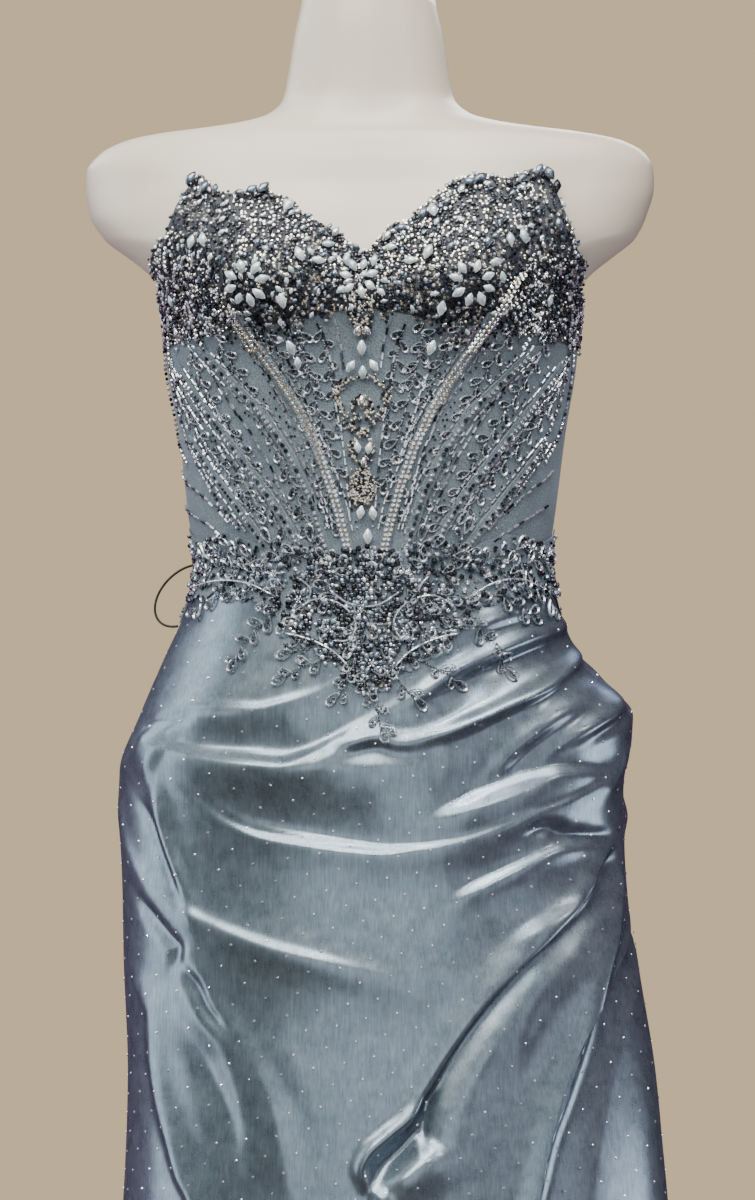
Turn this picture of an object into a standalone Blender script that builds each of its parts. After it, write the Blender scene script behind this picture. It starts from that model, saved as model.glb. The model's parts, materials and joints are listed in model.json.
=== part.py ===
"""Strapless prom gown on a limbless torso form with a pole and a round base.

The cloth is a thin wall over one surface, skin(turn, height). Turn is the angle round the figure,
0 at centre front and positive towards +X; height is above the floor. Metres, +Z up, front towards -Y.
"""
import math

import bpy
import numpy as np

MM = 0.001
HEM_HEIGHT = 0.012
WAIST_SEAM = 1.042
SIDE_SEAM = math.radians(97)
SATIN_WALL = 0.0020
MESH_WALL = 0.0018
SEAM_HALF_GAP = 0.0002
LAYER_GAP = 0.0007
CASING_WIDTH = 0.0075
CASING_THICKNESS = 0.0012
CASING_GAP = 0.0010
LACE_GAP = 0.0012
LACE_WALL = 0.0012
UNDER_SINK = 0.0055
FORM_BOTTOM = 0.790
FORM_TOP = 1.467
FORM_CLEARANCE = 0.0020
POLE_RADIUS = 0.015
POLE_ACROSS = 0.004
BASE_RADIUS = 0.180
BASE_THICKNESS = 0.018
PART_GAP = 0.0003

# Outline of the dressed figure: centre is the lean of the section, roundness 2 is an ellipse.
SECTIONS = np.array([
    # height, centre, left, right, front, back, roundness
    (12, 4, 246, 262, 240, 292, 2.0),
    (150, 4, 226, 246, 210, 262, 2.0),
    (320, 4, 203, 228, 176, 226, 2.0),
    (480, 4, 187, 215, 150, 192, 2.0),
    (603, 4, 180, 207, 134, 166, 2.1),
    (697, 4, 177, 198, 124, 150, 2.1),
    (780, 4, 180, 187, 115, 139, 2.2),
    (843, 4, 181, 181, 109, 131, 2.2),
    (911, 4, 183, 178, 104, 124, 2.2),
    (953, 4, 168, 165, 101, 115, 2.2),
    (995, 4, 150, 147, 96, 103, 2.1),
    (1021, 4, 138, 136, 92, 94, 2.1),
    (1042, 4, 131, 129, 90, 90, 2.1),
    (1060, 4, 126, 126, 89, 88, 2.1),
    (1092, 3, 132, 131, 91, 89, 2.1),
    (1154, 3, 139, 139, 97, 91, 2.1),
    (1205, 3, 148, 147, 100, 94, 2.1),
    (1235, 3, 149, 149, 101, 97, 2.2),
    (1252, 2, 152, 152, 99, 98, 2.3),
    (1262, 2, 161, 160, 97, 98, 2.4),
    (1276, 2, 179, 178, 94, 97, 2.5),
    (1290, 2, 197, 195, 91, 96, 2.5),
    (1310, 1, 208, 206, 87, 94, 2.5),
    (1330, 1, 211, 211, 82, 91, 2.5),
    (1345, 1, 209, 209, 78, 86, 2.5),
    (1357, 1, 199, 201, 73, 80, 2.5),
    (1366, 1, 183, 185, 69, 75, 2.5),
    (1371, 0, 164, 164, 65, 71, 2.4),
    (1375, 0, 131, 132, 63, 69, 2.3),
    (1380, 0, 97, 100, 61, 66, 2.2),
    (1386, 0, 76, 78, 60, 63, 2.1),
    (1396, 0, 65, 66, 59, 61, 2.0),
    (1415, 0, 61, 62, 58, 59, 2.0),
    (1440, 0, 57, 58, 57, 58, 2.0),
    (1467, 0, 51, 52, 55, 56, 2.0),
], dtype=float)

# How far the form lies inside the cloth's clearance, as height and inset.
FORM_INSET = np.array([(0.80, 0.010), (0.98, 0.005), (1.03, 0), (1.24, 0), (1.27, 0.003), (1.33, 0.003),
                       (1.36, 0)])

FORM_LEVELS = (FORM_BOTTOM, 0.84, 0.89, 0.935, 0.97, 1.0, 1.022, 1.042, 1.06, 1.078, 1.097, 1.12, 1.144,
               1.168, 1.19, 1.208, 1.223, 1.237, 1.25, 1.264, 1.278, 1.294, 1.314, 1.334, 1.35, 1.362,
               1.37, 1.377, 1.386, 1.405, FORM_TOP)

BUST = {"across": 0.080, "height": 1.262, "reach": 0.030, "across_spread": 0.043,
        "up_spread": 0.042, "down_spread": 0.031}

# The gathered puff of satin on the hip at the end of the pleats.
HIP_PUFF = {"turn": math.radians(88), "height": 0.958, "lift": 0.021, "turn_spread": 0.36,
            "up_spread": 0.016, "down_spread": 0.023}

# Ridges (+) and valleys (-) of the draped skirt, each from the viewer's left to right.
FOLDS = [
    # name, lift, spread above, spread below, strength at start, at end, (across, height) of the route
    ("hip_valley", -6, 14, 10, .5, .1, ((-147, 949), (-113, 960), (-74, 967), (-22, 974))),
    ("hip_ridge", 5, 9, 12, .2, .1, ((-128, 945), (-91, 950), (-56, 958), (-22, 968))),
    ("belly_ridge", 6, 14, 14, .4, .2, ((-150, 931), (-107, 925), (-53, 919), (-24, 925), (7, 947))),
    ("belly_valley", -5, 13, 13, .3, .4, ((-130, 905), (-60, 893), (10, 896), (80, 915), (150, 940))),
    ("mid_drape", 9, 16, 14, .1, .8,
     ((-113, 903), (-96, 881), (-22, 867), (18, 863), (60, 867), (131, 892), (168, 912))),
    ("mid_valley", -6, 12, 12, .2, .6, ((-60, 842), (18, 850), (80, 862), (150, 884))),
    ("low_ridge", 5, 12, 12, .2, .8, ((18, 836), (103, 847), (150, 868))),
    ("big_drape", 13, 22, 15, .5, .9,
     ((-168, 889), (-158, 859), (-118, 818), (-82, 799), (-37, 785), (14, 778), (62, 781),
      (125, 799), (162, 827), (178, 852))),
    ("under_drape", -8, 13, 20, .2, .3, ((-120, 790), (-60, 762), (14, 752), (80, 760), (130, 782))),
    ("swoop_valley", -12, 15, 13, .3, .8,
     ((8, 625), (45, 657), (49, 690), (72, 726), (106, 764), (142, 803), (175, 850))),
    ("swoop_ridge", 9, 13, 13, .2, .7, ((36, 610), (75, 655), (84, 700), (108, 742), (146, 786), (184, 832))),
    ("lily_ridge", 8, 14, 14, .1, .3, ((-10, 640), (22, 676), (34, 712), (60, 745))),
    ("pleat_one", 8, 8, 16, .2, 1, ((24, 936), (49, 939), (90, 954), (125, 972), (150, 992))),
    ("pleat_one_shade", -5, 10, 8, .2, .9, ((30, 955), (60, 963), (100, 980), (140, 1004))),
    ("pleat_two", 4, 12, 14, .2, .8, ((40, 962), (66, 982), (90, 995), (125, 1012), (142, 1018))),
    ("pleat_three", 5, 12, 14, .1, .9, ((60, 900), (100, 925), (140, 950), (165, 966))),
    ("left_ridge", 6, 13, 13, .2, .1, ((-150, 752), (-142, 719), (-135, 674), (-120, 610))),
    ("left_crease", -6, 12, 12, .2, .2, ((-136, 826), (-111, 785), (-100, 745), (-76, 690), (-52, 632))),
]

# Soft cones that open towards the hem, round the whole skirt.
FLUTES = [
    # turn, lift, spread in degrees, height where it dies out
    (-160, 16, 11, 560), (-128, 13, 12, 600), (-98, 12, 9, 520), (-66, 14, 10, 470),
    (-38, 10, 9, 430), (-12, 16, 10, 520), (28, 13, 8, 430), (58, 10, 9, 500),
    (90, 15, 10, 560), (122, 14, 11, 620), (152, 15, 11, 540), (178, 12, 10, 480),
]

# Half of the neckline in the front, from the centre-front V to the underarm.
NECKLINE_LEFT = [
    # across, height
    (0, 1274), (-8, 1282), (-18, 1290), (-28, 1296), (-41, 1302), (-48, 1312), (-61, 1316),
    (-67, 1322), (-79, 1317), (-99, 1318), (-109, 1328), (-115, 1332), (-126, 1318),
    (-137, 1290), (-146, 1256),
]
NECKLINE_RIGHT = [
    (0, 1274), (9, 1279), (19, 1293), (29, 1295), (41, 1304), (53, 1316), (60, 1322),
    (76, 1331), (90, 1329), (103, 1328), (119, 1336), (129, 1334), (134, 1322), (143, 1300),
    (149, 1280), (152, 1256),
]
UNDERARM_HEIGHT = 1.240
BACK_TOP = 1.230

CUP_SEAM = np.array([(0, 1237), (15, 1232), (35, 1225), (60, 1219), (97, 1210)])
CUP_HALF_GAP = 0.0004

# Seams and boning casings of the bodice: distance from centre front at each height.
SEAM_LINES = {
    "princess": np.array([(1030, 8), (1068, 12), (1090, 17), (1114, 24), (1139, 33), (1165, 45),
                          (1189, 60), (1218, 80), (1250, 98)]),
    "second": np.array([(1030, 20), (1068, 27), (1109, 40), (1136, 53), (1164, 71), (1190, 97),
                        (1222, 128)]),
    "side_front": np.array([(1030, 32), (1068, 45), (1086, 54), (1108, 68), (1128, 83), (1148, 98),
                            (1172, 116), (1198, 134), (1222, 145)]),
    "low": np.array([(1040, 52), (1064, 66), (1079, 75), (1102, 92), (1124, 109), (1146, 124),
                     (1160, 134)]),
}
CASING_TOPS = {"princess": 1.2215, "second": 1.213, "side_front": 1.203, "low": 1.152}

# The beaded lace at the waist: its upper edge and its sprays, all across the front.
LACE_TOP = [(-150, 1092), (-120, 1078), (-95, 1083), (-70, 1073), (-45, 1079), (-20, 1070), (4, 1074),
            (28, 1070), (50, 1080), (75, 1072), (100, 1082), (125, 1076), (150, 1086)]
LACE_BOTTOM = [(-150, 1024), (-118, 1018), (-90, 989), (-70, 1014), (-54, 983), (-36, 1002), (-16, 972),
               (-1, 980), (14, 944), (24, 980), (34, 970), (51, 1001), (68, 979), (86, 1007), (102, 987),
               (119, 1018), (150, 1022)]
LACE_SIDE = math.radians(90)
LACE_BACK_END = math.radians(135)
LACE_BUMPS = 0.0018
# Edges of the lace's back ends at the side, how far they run together at the end, and their waves.
BACK_LACE_TOP = {"height": 1.086, "change": -0.022, "wave": 0.003, "waves": 14}
BACK_LACE_BOTTOM = {"height": 1.022, "change": 0.018, "wave": 0.004, "waves": 17}

MIDDLE_ACROSS = 0.003
MOTIF_HEIGHTS = (1.082, 1.234)
MOTIF_ROWS = 16
MOTIF_HALF_WIDTH = (0.0035, 0.0090)
MOTIF_BEATS = 39
MOTIF_CREST = 0.0022
PLACKET_HEIGHTS = (0.86, 1.228)
PLACKET_ROWS = 14
PLACKET_HALF_WIDTH = 0.007

# Free edge of the draped overlay on the viewer's right: height and turn in degrees.
OVERLAY_EDGE = np.array([(12, 24), (200, 28), (400, 36), (603, 45), (669, 51), (726, 60), (775, 74),
                         (804, 86), (830, 97), (900, 97)])
UNDER_TOP = 0.862
UNDER_LAP = math.radians(17)

LOOP_TURN = math.radians(-91)
LOOP_HEIGHTS = (1.060, 1.0155)
LOOP_LIFTS = (0.0046, 0.0015)
LOOP_BOW = (-0.022, 0.004, -0.004)
LOOP_RADIUS = 0.0009

MATERIALS = {
    # name: colour, roughness, metallic
    "satin_slate": ((0.20, 0.27, 0.33), 0.28, 0.0),
    "mesh_slate": ((0.26, 0.34, 0.39), 0.60, 0.0),
    "beads_gunmetal": ((0.18, 0.21, 0.24), 0.25, 0.6),
    "form_white": ((0.78, 0.74, 0.71), 0.30, 0.0),
    "stand_steel": ((0.55, 0.56, 0.57), 0.30, 1.0),
    "loop_dark": ((0.05, 0.04, 0.04), 0.50, 0.0),
}


def smooth_columns(table, at):
    """Each column of a table at any first-column value, on a smooth curve that doesn't overshoot."""
    keys = table[:, 0]
    at = np.clip(at, keys[0], keys[-1])
    step = np.diff(keys)[:, None]
    slope = np.diff(table[:, 1:], axis=0) / step
    steady = slope[:-1] * slope[1:] > 0
    inner = np.where(steady, 2 * slope[:-1] * slope[1:] / np.where(steady, slope[:-1] + slope[1:], 1), 0)
    tangent = np.vstack([slope[:1], inner, slope[-1:]])
    i = np.clip(np.searchsorted(keys, at, side="right") - 1, 0, len(keys) - 2)
    h = (keys[i + 1] - keys[i])[..., None]
    t = ((at - keys[i]) / (keys[i + 1] - keys[i]))[..., None]
    low = table[i, 1:]
    high = table[i + 1, 1:]
    return (low * (2 * t**3 - 3 * t**2 + 1) + high * (3 * t**2 - 2 * t**3)
            + tangent[i] * h * (t**3 - 2 * t**2 + t) + tangent[i + 1] * h * (t**3 - t**2))


def section_radius(turn, height):
    """Radius of the plain outline at a turn and height, and the section's centre in X."""
    centre, left, right, front, back, roundness = np.moveaxis(smooth_columns(SECTIONS, height / MM), -1, 0)
    side = np.where(np.sin(turn) < 0, left, right) * MM
    depth = np.where(np.cos(turn) > 0, front, back) * MM
    reach = np.abs(np.sin(turn) / side) ** roundness + np.abs(np.cos(turn) / depth) ** roundness
    return reach ** (-1 / roundness), centre * MM


def turn_at(across, height):
    """Turn of the point of the front that lies at X = across, in metres, at a height."""
    turns = np.radians(np.linspace(-96, 96, 193))
    found = []
    for x, z in zip(np.ravel(across), np.ravel(height)):
        radius, centre = section_radius(turns, np.full_like(turns, z))
        found.append(np.interp(x, centre + radius * np.sin(turns), turns))
    return np.array(found)


def spread_falloff(distance, plus_spread, minus_spread):
    """Bell curve with its own width on each side of zero."""
    spread = np.where(distance > 0, plus_spread, minus_spread)
    return np.exp(-0.5 * (distance / spread) ** 2)


def girth_scale(height):
    """Metres of cloth per radian of turn, about, at a height."""
    front, side = smooth_columns(SECTIONS[:, [0, 4, 3]], height / MM)[..., 0:2].T
    return (0.5 * (front + side) * MM).T


def fold_route(points):
    """A fold's route as girth and height on a smooth curve, with the distance run along it, 0 to 1."""
    route = np.array(points, dtype=float) * MM
    turn = turn_at(route[:, 0], route[:, 1])
    flat = np.column_stack([turn * girth_scale(route[:, 1]), route[:, 1]])
    run = np.concatenate([[0], np.cumsum(np.linalg.norm(np.diff(flat, axis=0), axis=1))])
    at = np.linspace(0, run[-1], 6 * len(points))
    return smooth_columns(np.column_stack([run, flat]), at), at / run[-1]


def fold_lift(turn, height):
    """How far the drape stands out from the plain outline."""
    flat = np.stack([turn * girth_scale(height), height], axis=-1)
    lift = np.zeros(np.shape(turn))
    for _, rise, above, below, start, end, points in FOLDS:
        route, run = fold_route(points)
        gap = flat[..., None, :] - route
        nearest = np.argmin(np.sum(gap**2, axis=-1), axis=-1)
        heading = np.gradient(route, axis=0)
        heading /= np.linalg.norm(heading, axis=1)[:, None]
        offset = np.take_along_axis(gap, nearest[..., None, None], axis=-2)[..., 0, :]
        along = heading[nearest]
        side = along[..., 0] * offset[..., 1] - along[..., 1] * offset[..., 0]
        past = along[..., 0] * offset[..., 0] + along[..., 1] * offset[..., 1]
        strength = np.interp(run, (0, 0.3, 0.7, 1), (start, 1, 1, end))[nearest]
        lift += rise * MM * strength * spread_falloff(side, above * MM, below * MM) \
            * np.exp(-0.5 * (past / (18 * MM)) ** 2)
    return lift


def flute_lift(turn, height):
    """The soft cones of the hem."""
    lift = np.zeros(np.shape(turn))
    for degrees, rise, spread, top in FLUTES:
        away = (np.degrees(turn) - degrees + 180) % 360 - 180
        grown = np.clip(1 - height / (top * MM), 0, 1) ** 1.6
        lift += rise * MM * grown * np.exp(-0.5 * (away / spread) ** 2)
    return lift


def bust_lift(across, height):
    """The fullness of the two cups, as a push towards -Y."""
    rise = np.zeros(np.shape(height))
    for side in (-1, 1):
        away = across - 0.002 - side * BUST["across"]
        rise += np.exp(-0.5 * (away / BUST["across_spread"]) ** 2) \
            * spread_falloff(height - BUST["height"], BUST["up_spread"], BUST["down_spread"])
    return BUST["reach"] * rise


def puff_lift(turn, height):
    """The puff at the end of the hip pleats."""
    return HIP_PUFF["lift"] * spread_falloff(height - HIP_PUFF["height"], HIP_PUFF["up_spread"],
                                             HIP_PUFF["down_spread"]) \
        * np.exp(-0.5 * ((turn - HIP_PUFF["turn"]) / HIP_PUFF["turn_spread"]) ** 2)


def skin(turn, height, draped=True):
    """The outer surface of the gown, or of the plain figure when it isn't draped."""
    radius, centre = section_radius(turn, height)
    if draped:
        waist_fade = np.clip((WAIST_SEAM + 0.004 - height) / 0.03, 0, 1)
        radius = radius + waist_fade * (fold_lift(turn, height) + puff_lift(turn, height)) \
            + flute_lift(turn, height)
    x = centre + radius * np.sin(turn)
    y = -radius * np.cos(turn)
    front = np.clip(np.cos(turn) * 2.2, 0, 1)
    return np.stack([x, y - front * bust_lift(x, height), height + 0 * x], axis=-1)


def layer(turn, height, lift, draped=True):
    """Points at a distance outside the skin, square to it."""
    step = 0.0015
    across = skin(turn + step / 0.15, height, draped) - skin(turn - step / 0.15, height, draped)
    upward = skin(turn, height + step, draped) - skin(turn, height - step, draped)
    outward = np.cross(across, upward)
    outward /= np.linalg.norm(outward, axis=-1)[..., None]
    return skin(turn, height, draped) + outward * np.asarray(lift)[..., None]


def material(name):
    """The Principled material of a finish."""
    made = bpy.data.materials.get(name)
    if made is None:
        colour, roughness, metallic = MATERIALS[name]
        made = bpy.data.materials.new(name)
        made.use_nodes = True
        shader = made.node_tree.nodes["Principled BSDF"]
        shader.inputs["Base Color"].default_value = (*colour, 1)
        shader.inputs["Roughness"].default_value = roughness
        shader.inputs["Metallic"].default_value = metallic
    return made


def add_object(name, finish, points, faces):
    """A named mesh object in the gown's collection."""
    mesh = bpy.data.meshes.new(name)
    mesh.from_pydata([tuple(point) for point in points], [], faces)
    mesh.materials.append(material(finish))
    mesh.shade_smooth()
    made = bpy.data.objects.new(name, mesh)
    bpy.data.collections["prom_dress"].objects.link(made)
    return made


def grid_faces(first, rows, columns, closed=False):
    """Quads over a grid of points, facing outwards; closed joins the last column to the first."""
    faces = []
    across = columns if closed else columns - 1
    for row in range(rows - 1):
        for column in range(across):
            a = first + row * columns + column
            b = first + row * columns + (column + 1) % columns
            faces.append((a, b, b + columns, a + columns))
    return faces


def wall(name, finish, turn, height, outer_lift, thickness):
    """A closed cloth wall over a grid of turns and heights, its outer face at outer_lift.

    One thickness for the whole wall leaves its inner face smooth; a grid of them follows the outer face.
    """
    outer_lift = outer_lift + np.zeros(turn.shape)
    inner_lift = np.min(outer_lift) - thickness if np.ndim(thickness) == 0 else outer_lift - thickness
    rows, columns = turn.shape
    points = np.concatenate([layer(turn, height, outer_lift).reshape(-1, 3),
                             layer(turn, height, inner_lift + 0 * turn).reshape(-1, 3)])
    inside = rows * columns
    faces = grid_faces(0, rows, columns)
    faces += [tuple(reversed(face)) for face in grid_faces(inside, rows, columns)]
    edge = list(range(columns))
    edge += [row * columns + columns - 1 for row in range(1, rows)]
    edge += [(rows - 1) * columns + column for column in range(columns - 2, -1, -1)]
    edge += [row * columns for row in range(rows - 2, 0, -1)]
    for a, b in zip(edge, edge[1:] + edge[:1]):
        faces.append((a, a + inside, b + inside, b))
    return add_object(name, finish, points, faces)


def panel_grid(left, right, bottom, top, columns, rows, spacing=None):
    """Turns and heights between two side lines (turn from height) and two edges (height from turn)."""
    across = np.linspace(0, 1, columns + 1)[None, :]
    up = (np.linspace(0, 1, rows + 1) if spacing is None else np.asarray(spacing))[:, None]
    turn = np.zeros((len(up), columns + 1))
    height = bottom(turn) + (top(turn) - bottom(turn)) * up
    for _ in range(12):
        turn = left(height) + (right(height) - left(height)) * across
        height = bottom(turn) + (top(turn) - bottom(turn)) * up
    return turn, height


def level(value):
    """An edge at one height."""
    return lambda turn: value + 0 * turn


def upright(value, side=0):
    """A side line at one turn, set to the side given by that many half gaps."""
    return lambda height: value + side * SEAM_HALF_GAP / section_radius(value + 0 * height, height)[0]


def outline_edge(points):
    """An edge as height over turn from points measured across the front."""
    table = np.array(points, dtype=float) * MM
    turns = turn_at(table[:, 0], table[:, 1])
    return turns, table[:, 1]


def neckline(turn):
    """Height of the top edge at a turn."""
    left_turns, left_heights = outline_edge(NECKLINE_LEFT[::-1])
    right_turns, right_heights = outline_edge(NECKLINE_RIGHT[1:])
    turns = np.concatenate([[-SIDE_SEAM], left_turns, right_turns, [SIDE_SEAM]])
    heights = np.concatenate([[UNDERARM_HEIGHT], left_heights, right_heights, [UNDERARM_HEIGHT]])
    return np.interp(turn, turns, heights)


def cup_seam(turn):
    """Height of the seam under the cups."""
    return smooth_columns(CUP_SEAM, np.abs(np.degrees(turn)))[..., 0] * MM


def seam_line(name, side, gap_side=0):
    """A bodice seam as turn over height; gap_side sets the line back from the slanting seam."""
    table = SEAM_LINES[name]

    levels = np.linspace(1.03, 1.26, 47)
    across = np.interp(levels / MM, table[:, 0], table[:, 1]) * MM
    turns = turn_at(MIDDLE_ACROSS + side * across, levels)

    def line(height):
        turn = np.interp(height, levels, turns)
        radius = section_radius(turn, height)[0]
        return turn + gap_side * 1.3 * SEAM_HALF_GAP / radius

    return line


def bead_bumps(turn, height, rise):
    """Raised clusters of large beads, as uneven rounded bumps."""
    girth = turn * 0.13
    first = np.sin(girth * 410 + 1.3 * np.sin(height * 170)) * np.sin(height * 370 + 0.8)
    second = np.sin(girth * 230 + height * 190 + 2.1) * np.sin(height * 250 - girth * 160)
    return rise * np.clip(0.45 + 0.4 * first + 0.25 * second, 0.05, 1)


def make_figure():
    """The torso form: one smooth loft from the hips to the neck, closed flat at both ends."""
    columns = 32
    levels = np.array(FORM_LEVELS)
    turn, height = np.meshgrid(np.linspace(0, 2 * math.pi, columns, endpoint=False), levels)
    turn = (turn + math.pi) % (2 * math.pi) - math.pi
    inset = MESH_WALL + FORM_CLEARANCE + np.interp(height, FORM_INSET[:, 0], FORM_INSET[:, 1])
    points = layer(turn, height, -inset, draped=False)
    points[0, :, 2] = FORM_BOTTOM
    points[-1, :, 2] = FORM_TOP
    faces = grid_faces(0, len(levels), columns, closed=True)
    count = len(levels) * columns
    rim = [count - columns + column for column in range(columns)]
    for a, b in zip(rim, rim[1:] + rim[:1]):
        faces.append((a, b, count + 1))
    for a, b in zip(range(columns), [*range(1, columns), 0]):
        faces.append((b, a, count))
    ends = [(POLE_ACROSS, 0, FORM_BOTTOM), (0, 0, FORM_TOP)]
    add_object("form_torso", "form_white", np.concatenate([points.reshape(-1, 3), ends]), faces)


def make_stand():
    """The pole under the form and the round base that everything stands on."""
    pole_bottom = BASE_THICKNESS + PART_GAP
    pole_top = FORM_BOTTOM - PART_GAP
    bpy.ops.mesh.primitive_cylinder_add(vertices=24, radius=POLE_RADIUS, depth=pole_top - pole_bottom,
                                        location=(POLE_ACROSS, 0, (pole_top + pole_bottom) / 2))
    pole = bpy.context.object
    pole.name = "stand_pole"
    bpy.ops.mesh.primitive_cylinder_add(vertices=40, radius=BASE_RADIUS, depth=BASE_THICKNESS,
                                        location=(0, 0, BASE_THICKNESS / 2))
    base = bpy.context.object
    base.name = "stand_base"
    for piece in (pole, base):
        piece.data.materials.append(material("stand_steel"))
        for collection in list(piece.users_collection):
            collection.objects.unlink(piece)
        bpy.data.collections["prom_dress"].objects.link(piece)
    bevel = base.modifiers.new("edge", "BEVEL")
    bevel.width = 0.003
    bevel.segments = 2


def make_bodice():
    """The corset panels under the cups, the two back panels and the beaded cups."""
    bottom = level(WAIST_SEAM + SEAM_HALF_GAP)

    def under_cups(turn):
        return cup_seam(turn) - CUP_HALF_GAP

    spans = {
        "bodice_front_center": (seam_line("princess", -1, 1), seam_line("princess", 1, -1), 14),
        "bodice_side_front_left": (seam_line("side_front", -1, 1), seam_line("princess", -1, -1), 5),
        "bodice_side_front_right": (seam_line("princess", 1, 1), seam_line("side_front", 1, -1), 5),
        "bodice_side_left": (upright(-SIDE_SEAM, 1), seam_line("side_front", -1, -1), 6),
        "bodice_side_right": (seam_line("side_front", 1, 1), upright(SIDE_SEAM, -1), 6),
    }
    for name, (left, right, columns) in spans.items():
        turn, height = panel_grid(left, right, bottom, under_cups, columns, 11)
        wall(name, "mesh_slate", turn, height, 0, MESH_WALL)

    def back_top(turn):
        return np.interp(np.abs(turn), (SIDE_SEAM, math.radians(125), math.pi),
                         (UNDERARM_HEIGHT, BACK_TOP + 0.004, BACK_TOP))

    backs = {
        "bodice_back_left": (upright(-math.pi, 1), upright(-SIDE_SEAM, -1)),
        "bodice_back_right": (upright(SIDE_SEAM, 1), upright(math.pi, -1)),
    }
    for name, (left, right) in backs.items():
        turn, height = panel_grid(left, right, bottom, back_top, 9, 10)
        wall(name, "mesh_slate", turn, height, 0, MESH_WALL)

    def over_seam(turn):
        return cup_seam(turn) + CUP_HALF_GAP

    cups = {
        "cup_left": (upright(-SIDE_SEAM, 1), upright(0, -1)),
        "cup_right": (upright(0, 1), upright(SIDE_SEAM, -1)),
    }
    for name, (left, right) in cups.items():
        turn, height = panel_grid(left, right, over_seam, neckline, 26, 6)
        wall(name, "beads_gunmetal", turn, height, bead_bumps(turn, height, 0.0022), MESH_WALL)


def make_casings():
    """Boning casings that fan out from the waist over the corset panels."""
    lace_turns, lace_heights = outline_edge(LACE_TOP)
    for line, top in CASING_TOPS.items():
        table = SEAM_LINES[line]
        for side, side_name in ((-1, "left"), (1, "right")):
            centre = seam_line(line, side)
            foot = max(np.interp(centre(np.array(1.078)) + swing, lace_turns, lace_heights)
                       for swing in (-0.06, 0, 0.06)) + 0.002
            height = np.linspace(foot, top, 13)
            slope = np.gradient(np.interp(height / MM, table[:, 0], table[:, 1]) * MM, height)
            turn = centre(height)
            half = 0.5 * CASING_WIDTH * np.sqrt(1 + slope**2)
            swing = half / section_radius(turn, height)[0]
            turns = np.stack([turn - swing, turn + swing], axis=-1)
            wall(f"casing_{line}_{side_name}", "mesh_slate", turns, np.stack([height, height], axis=-1),
                 CASING_GAP + CASING_THICKNESS, CASING_THICKNESS)


def make_skirt():
    """The draped overlay, the panel under its free edge and the two back panels."""
    top = level(WAIST_SEAM - SEAM_HALF_GAP)
    hem = level(HEM_HEIGHT)
    rise = WAIST_SEAM - HEM_HEIGHT
    drape_rows = np.concatenate([np.linspace(0, 0.52, 8), np.linspace(0.55, 0.97, 26), (0.985, 1.0)])

    def overlay_edge(height):
        turn = np.radians(smooth_columns(OVERLAY_EDGE, height / MM)[..., 0])
        return turn - SEAM_HALF_GAP / section_radius(turn, height)[0]

    turn, height = panel_grid(upright(-SIDE_SEAM, 1), overlay_edge, hem, top, 27, None, drape_rows)
    wall("skirt_drape", "satin_slate", turn, height, 0, SATIN_WALL)

    def under_left(height):
        return np.minimum(overlay_edge(height), overlay_edge(np.minimum(height, 0.775))) - UNDER_LAP

    under_rows = np.concatenate([np.linspace(0, 0.62, 7), np.linspace(0.68, 1.0, 9)])
    turn, height = panel_grid(under_left, upright(SIDE_SEAM, -1), hem, level(UNDER_TOP), 9, None, under_rows)
    past_edge = (turn - overlay_edge(height)) * section_radius(turn, height)[0]
    sunk = 1 - np.clip((past_edge - 0.008) / 0.035, 0, 1)
    wall("skirt_under", "satin_slate", turn, height, -UNDER_SINK * sunk,
         SATIN_WALL + 0 * turn)

    backs = {
        "skirt_back_left": (upright(-math.pi, 1), upright(-SIDE_SEAM, -1)),
        "skirt_back_right": (upright(SIDE_SEAM, 1), upright(math.pi, -1)),
    }
    back_rows = (np.array((0.012, 0.13, 0.25, 0.37, 0.48, 0.57, 0.65, 0.72, 0.78, 0.83, 0.87, 0.905, 0.935,
                           0.962, 0.99, 1.015, WAIST_SEAM)) - HEM_HEIGHT) / rise
    for name, (left, right) in backs.items():
        turn, height = panel_grid(left, right, hem, top, 11, None, back_rows)
        wall(name, "satin_slate", turn, height, 0, SATIN_WALL)


def make_lace():
    """The beaded lace round the waist: one front piece and two back ends."""
    top_turns, top_heights = outline_edge(LACE_TOP)
    bottom_turns, bottom_heights = outline_edge(LACE_BOTTOM)

    def lace_top(turn):
        return np.interp(turn, top_turns, top_heights)

    def lace_bottom(turn):
        return np.interp(turn, bottom_turns, bottom_heights)

    turn, height = panel_grid(upright(-LACE_SIDE), upright(LACE_SIDE), lace_bottom, lace_top, 54, 5)
    wall("waist_lace_front", "beads_gunmetal", turn, height,
         LACE_GAP + LACE_WALL + bead_bumps(turn, height, LACE_BUMPS), LACE_WALL)

    def back_edge(shape):
        def edge(turn):
            taper = (np.abs(turn) - LACE_SIDE) / (LACE_BACK_END - LACE_SIDE)
            return shape["height"] + shape["change"] * taper + shape["wave"] * np.sin(turn * shape["waves"])

        return edge

    ends = {
        "waist_lace_back_left": (upright(-LACE_BACK_END, 2), upright(-LACE_SIDE, -2)),
        "waist_lace_back_right": (upright(LACE_SIDE, 2), upright(LACE_BACK_END, -2)),
    }
    for name, (left, right) in ends.items():
        turn, height = panel_grid(left, right, back_edge(BACK_LACE_BOTTOM), back_edge(BACK_LACE_TOP), 10, 3)
        wall(name, "beads_gunmetal", turn, height,
             CASING_GAP + LACE_WALL + bead_bumps(turn, height, 0.0012), LACE_WALL)


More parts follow.
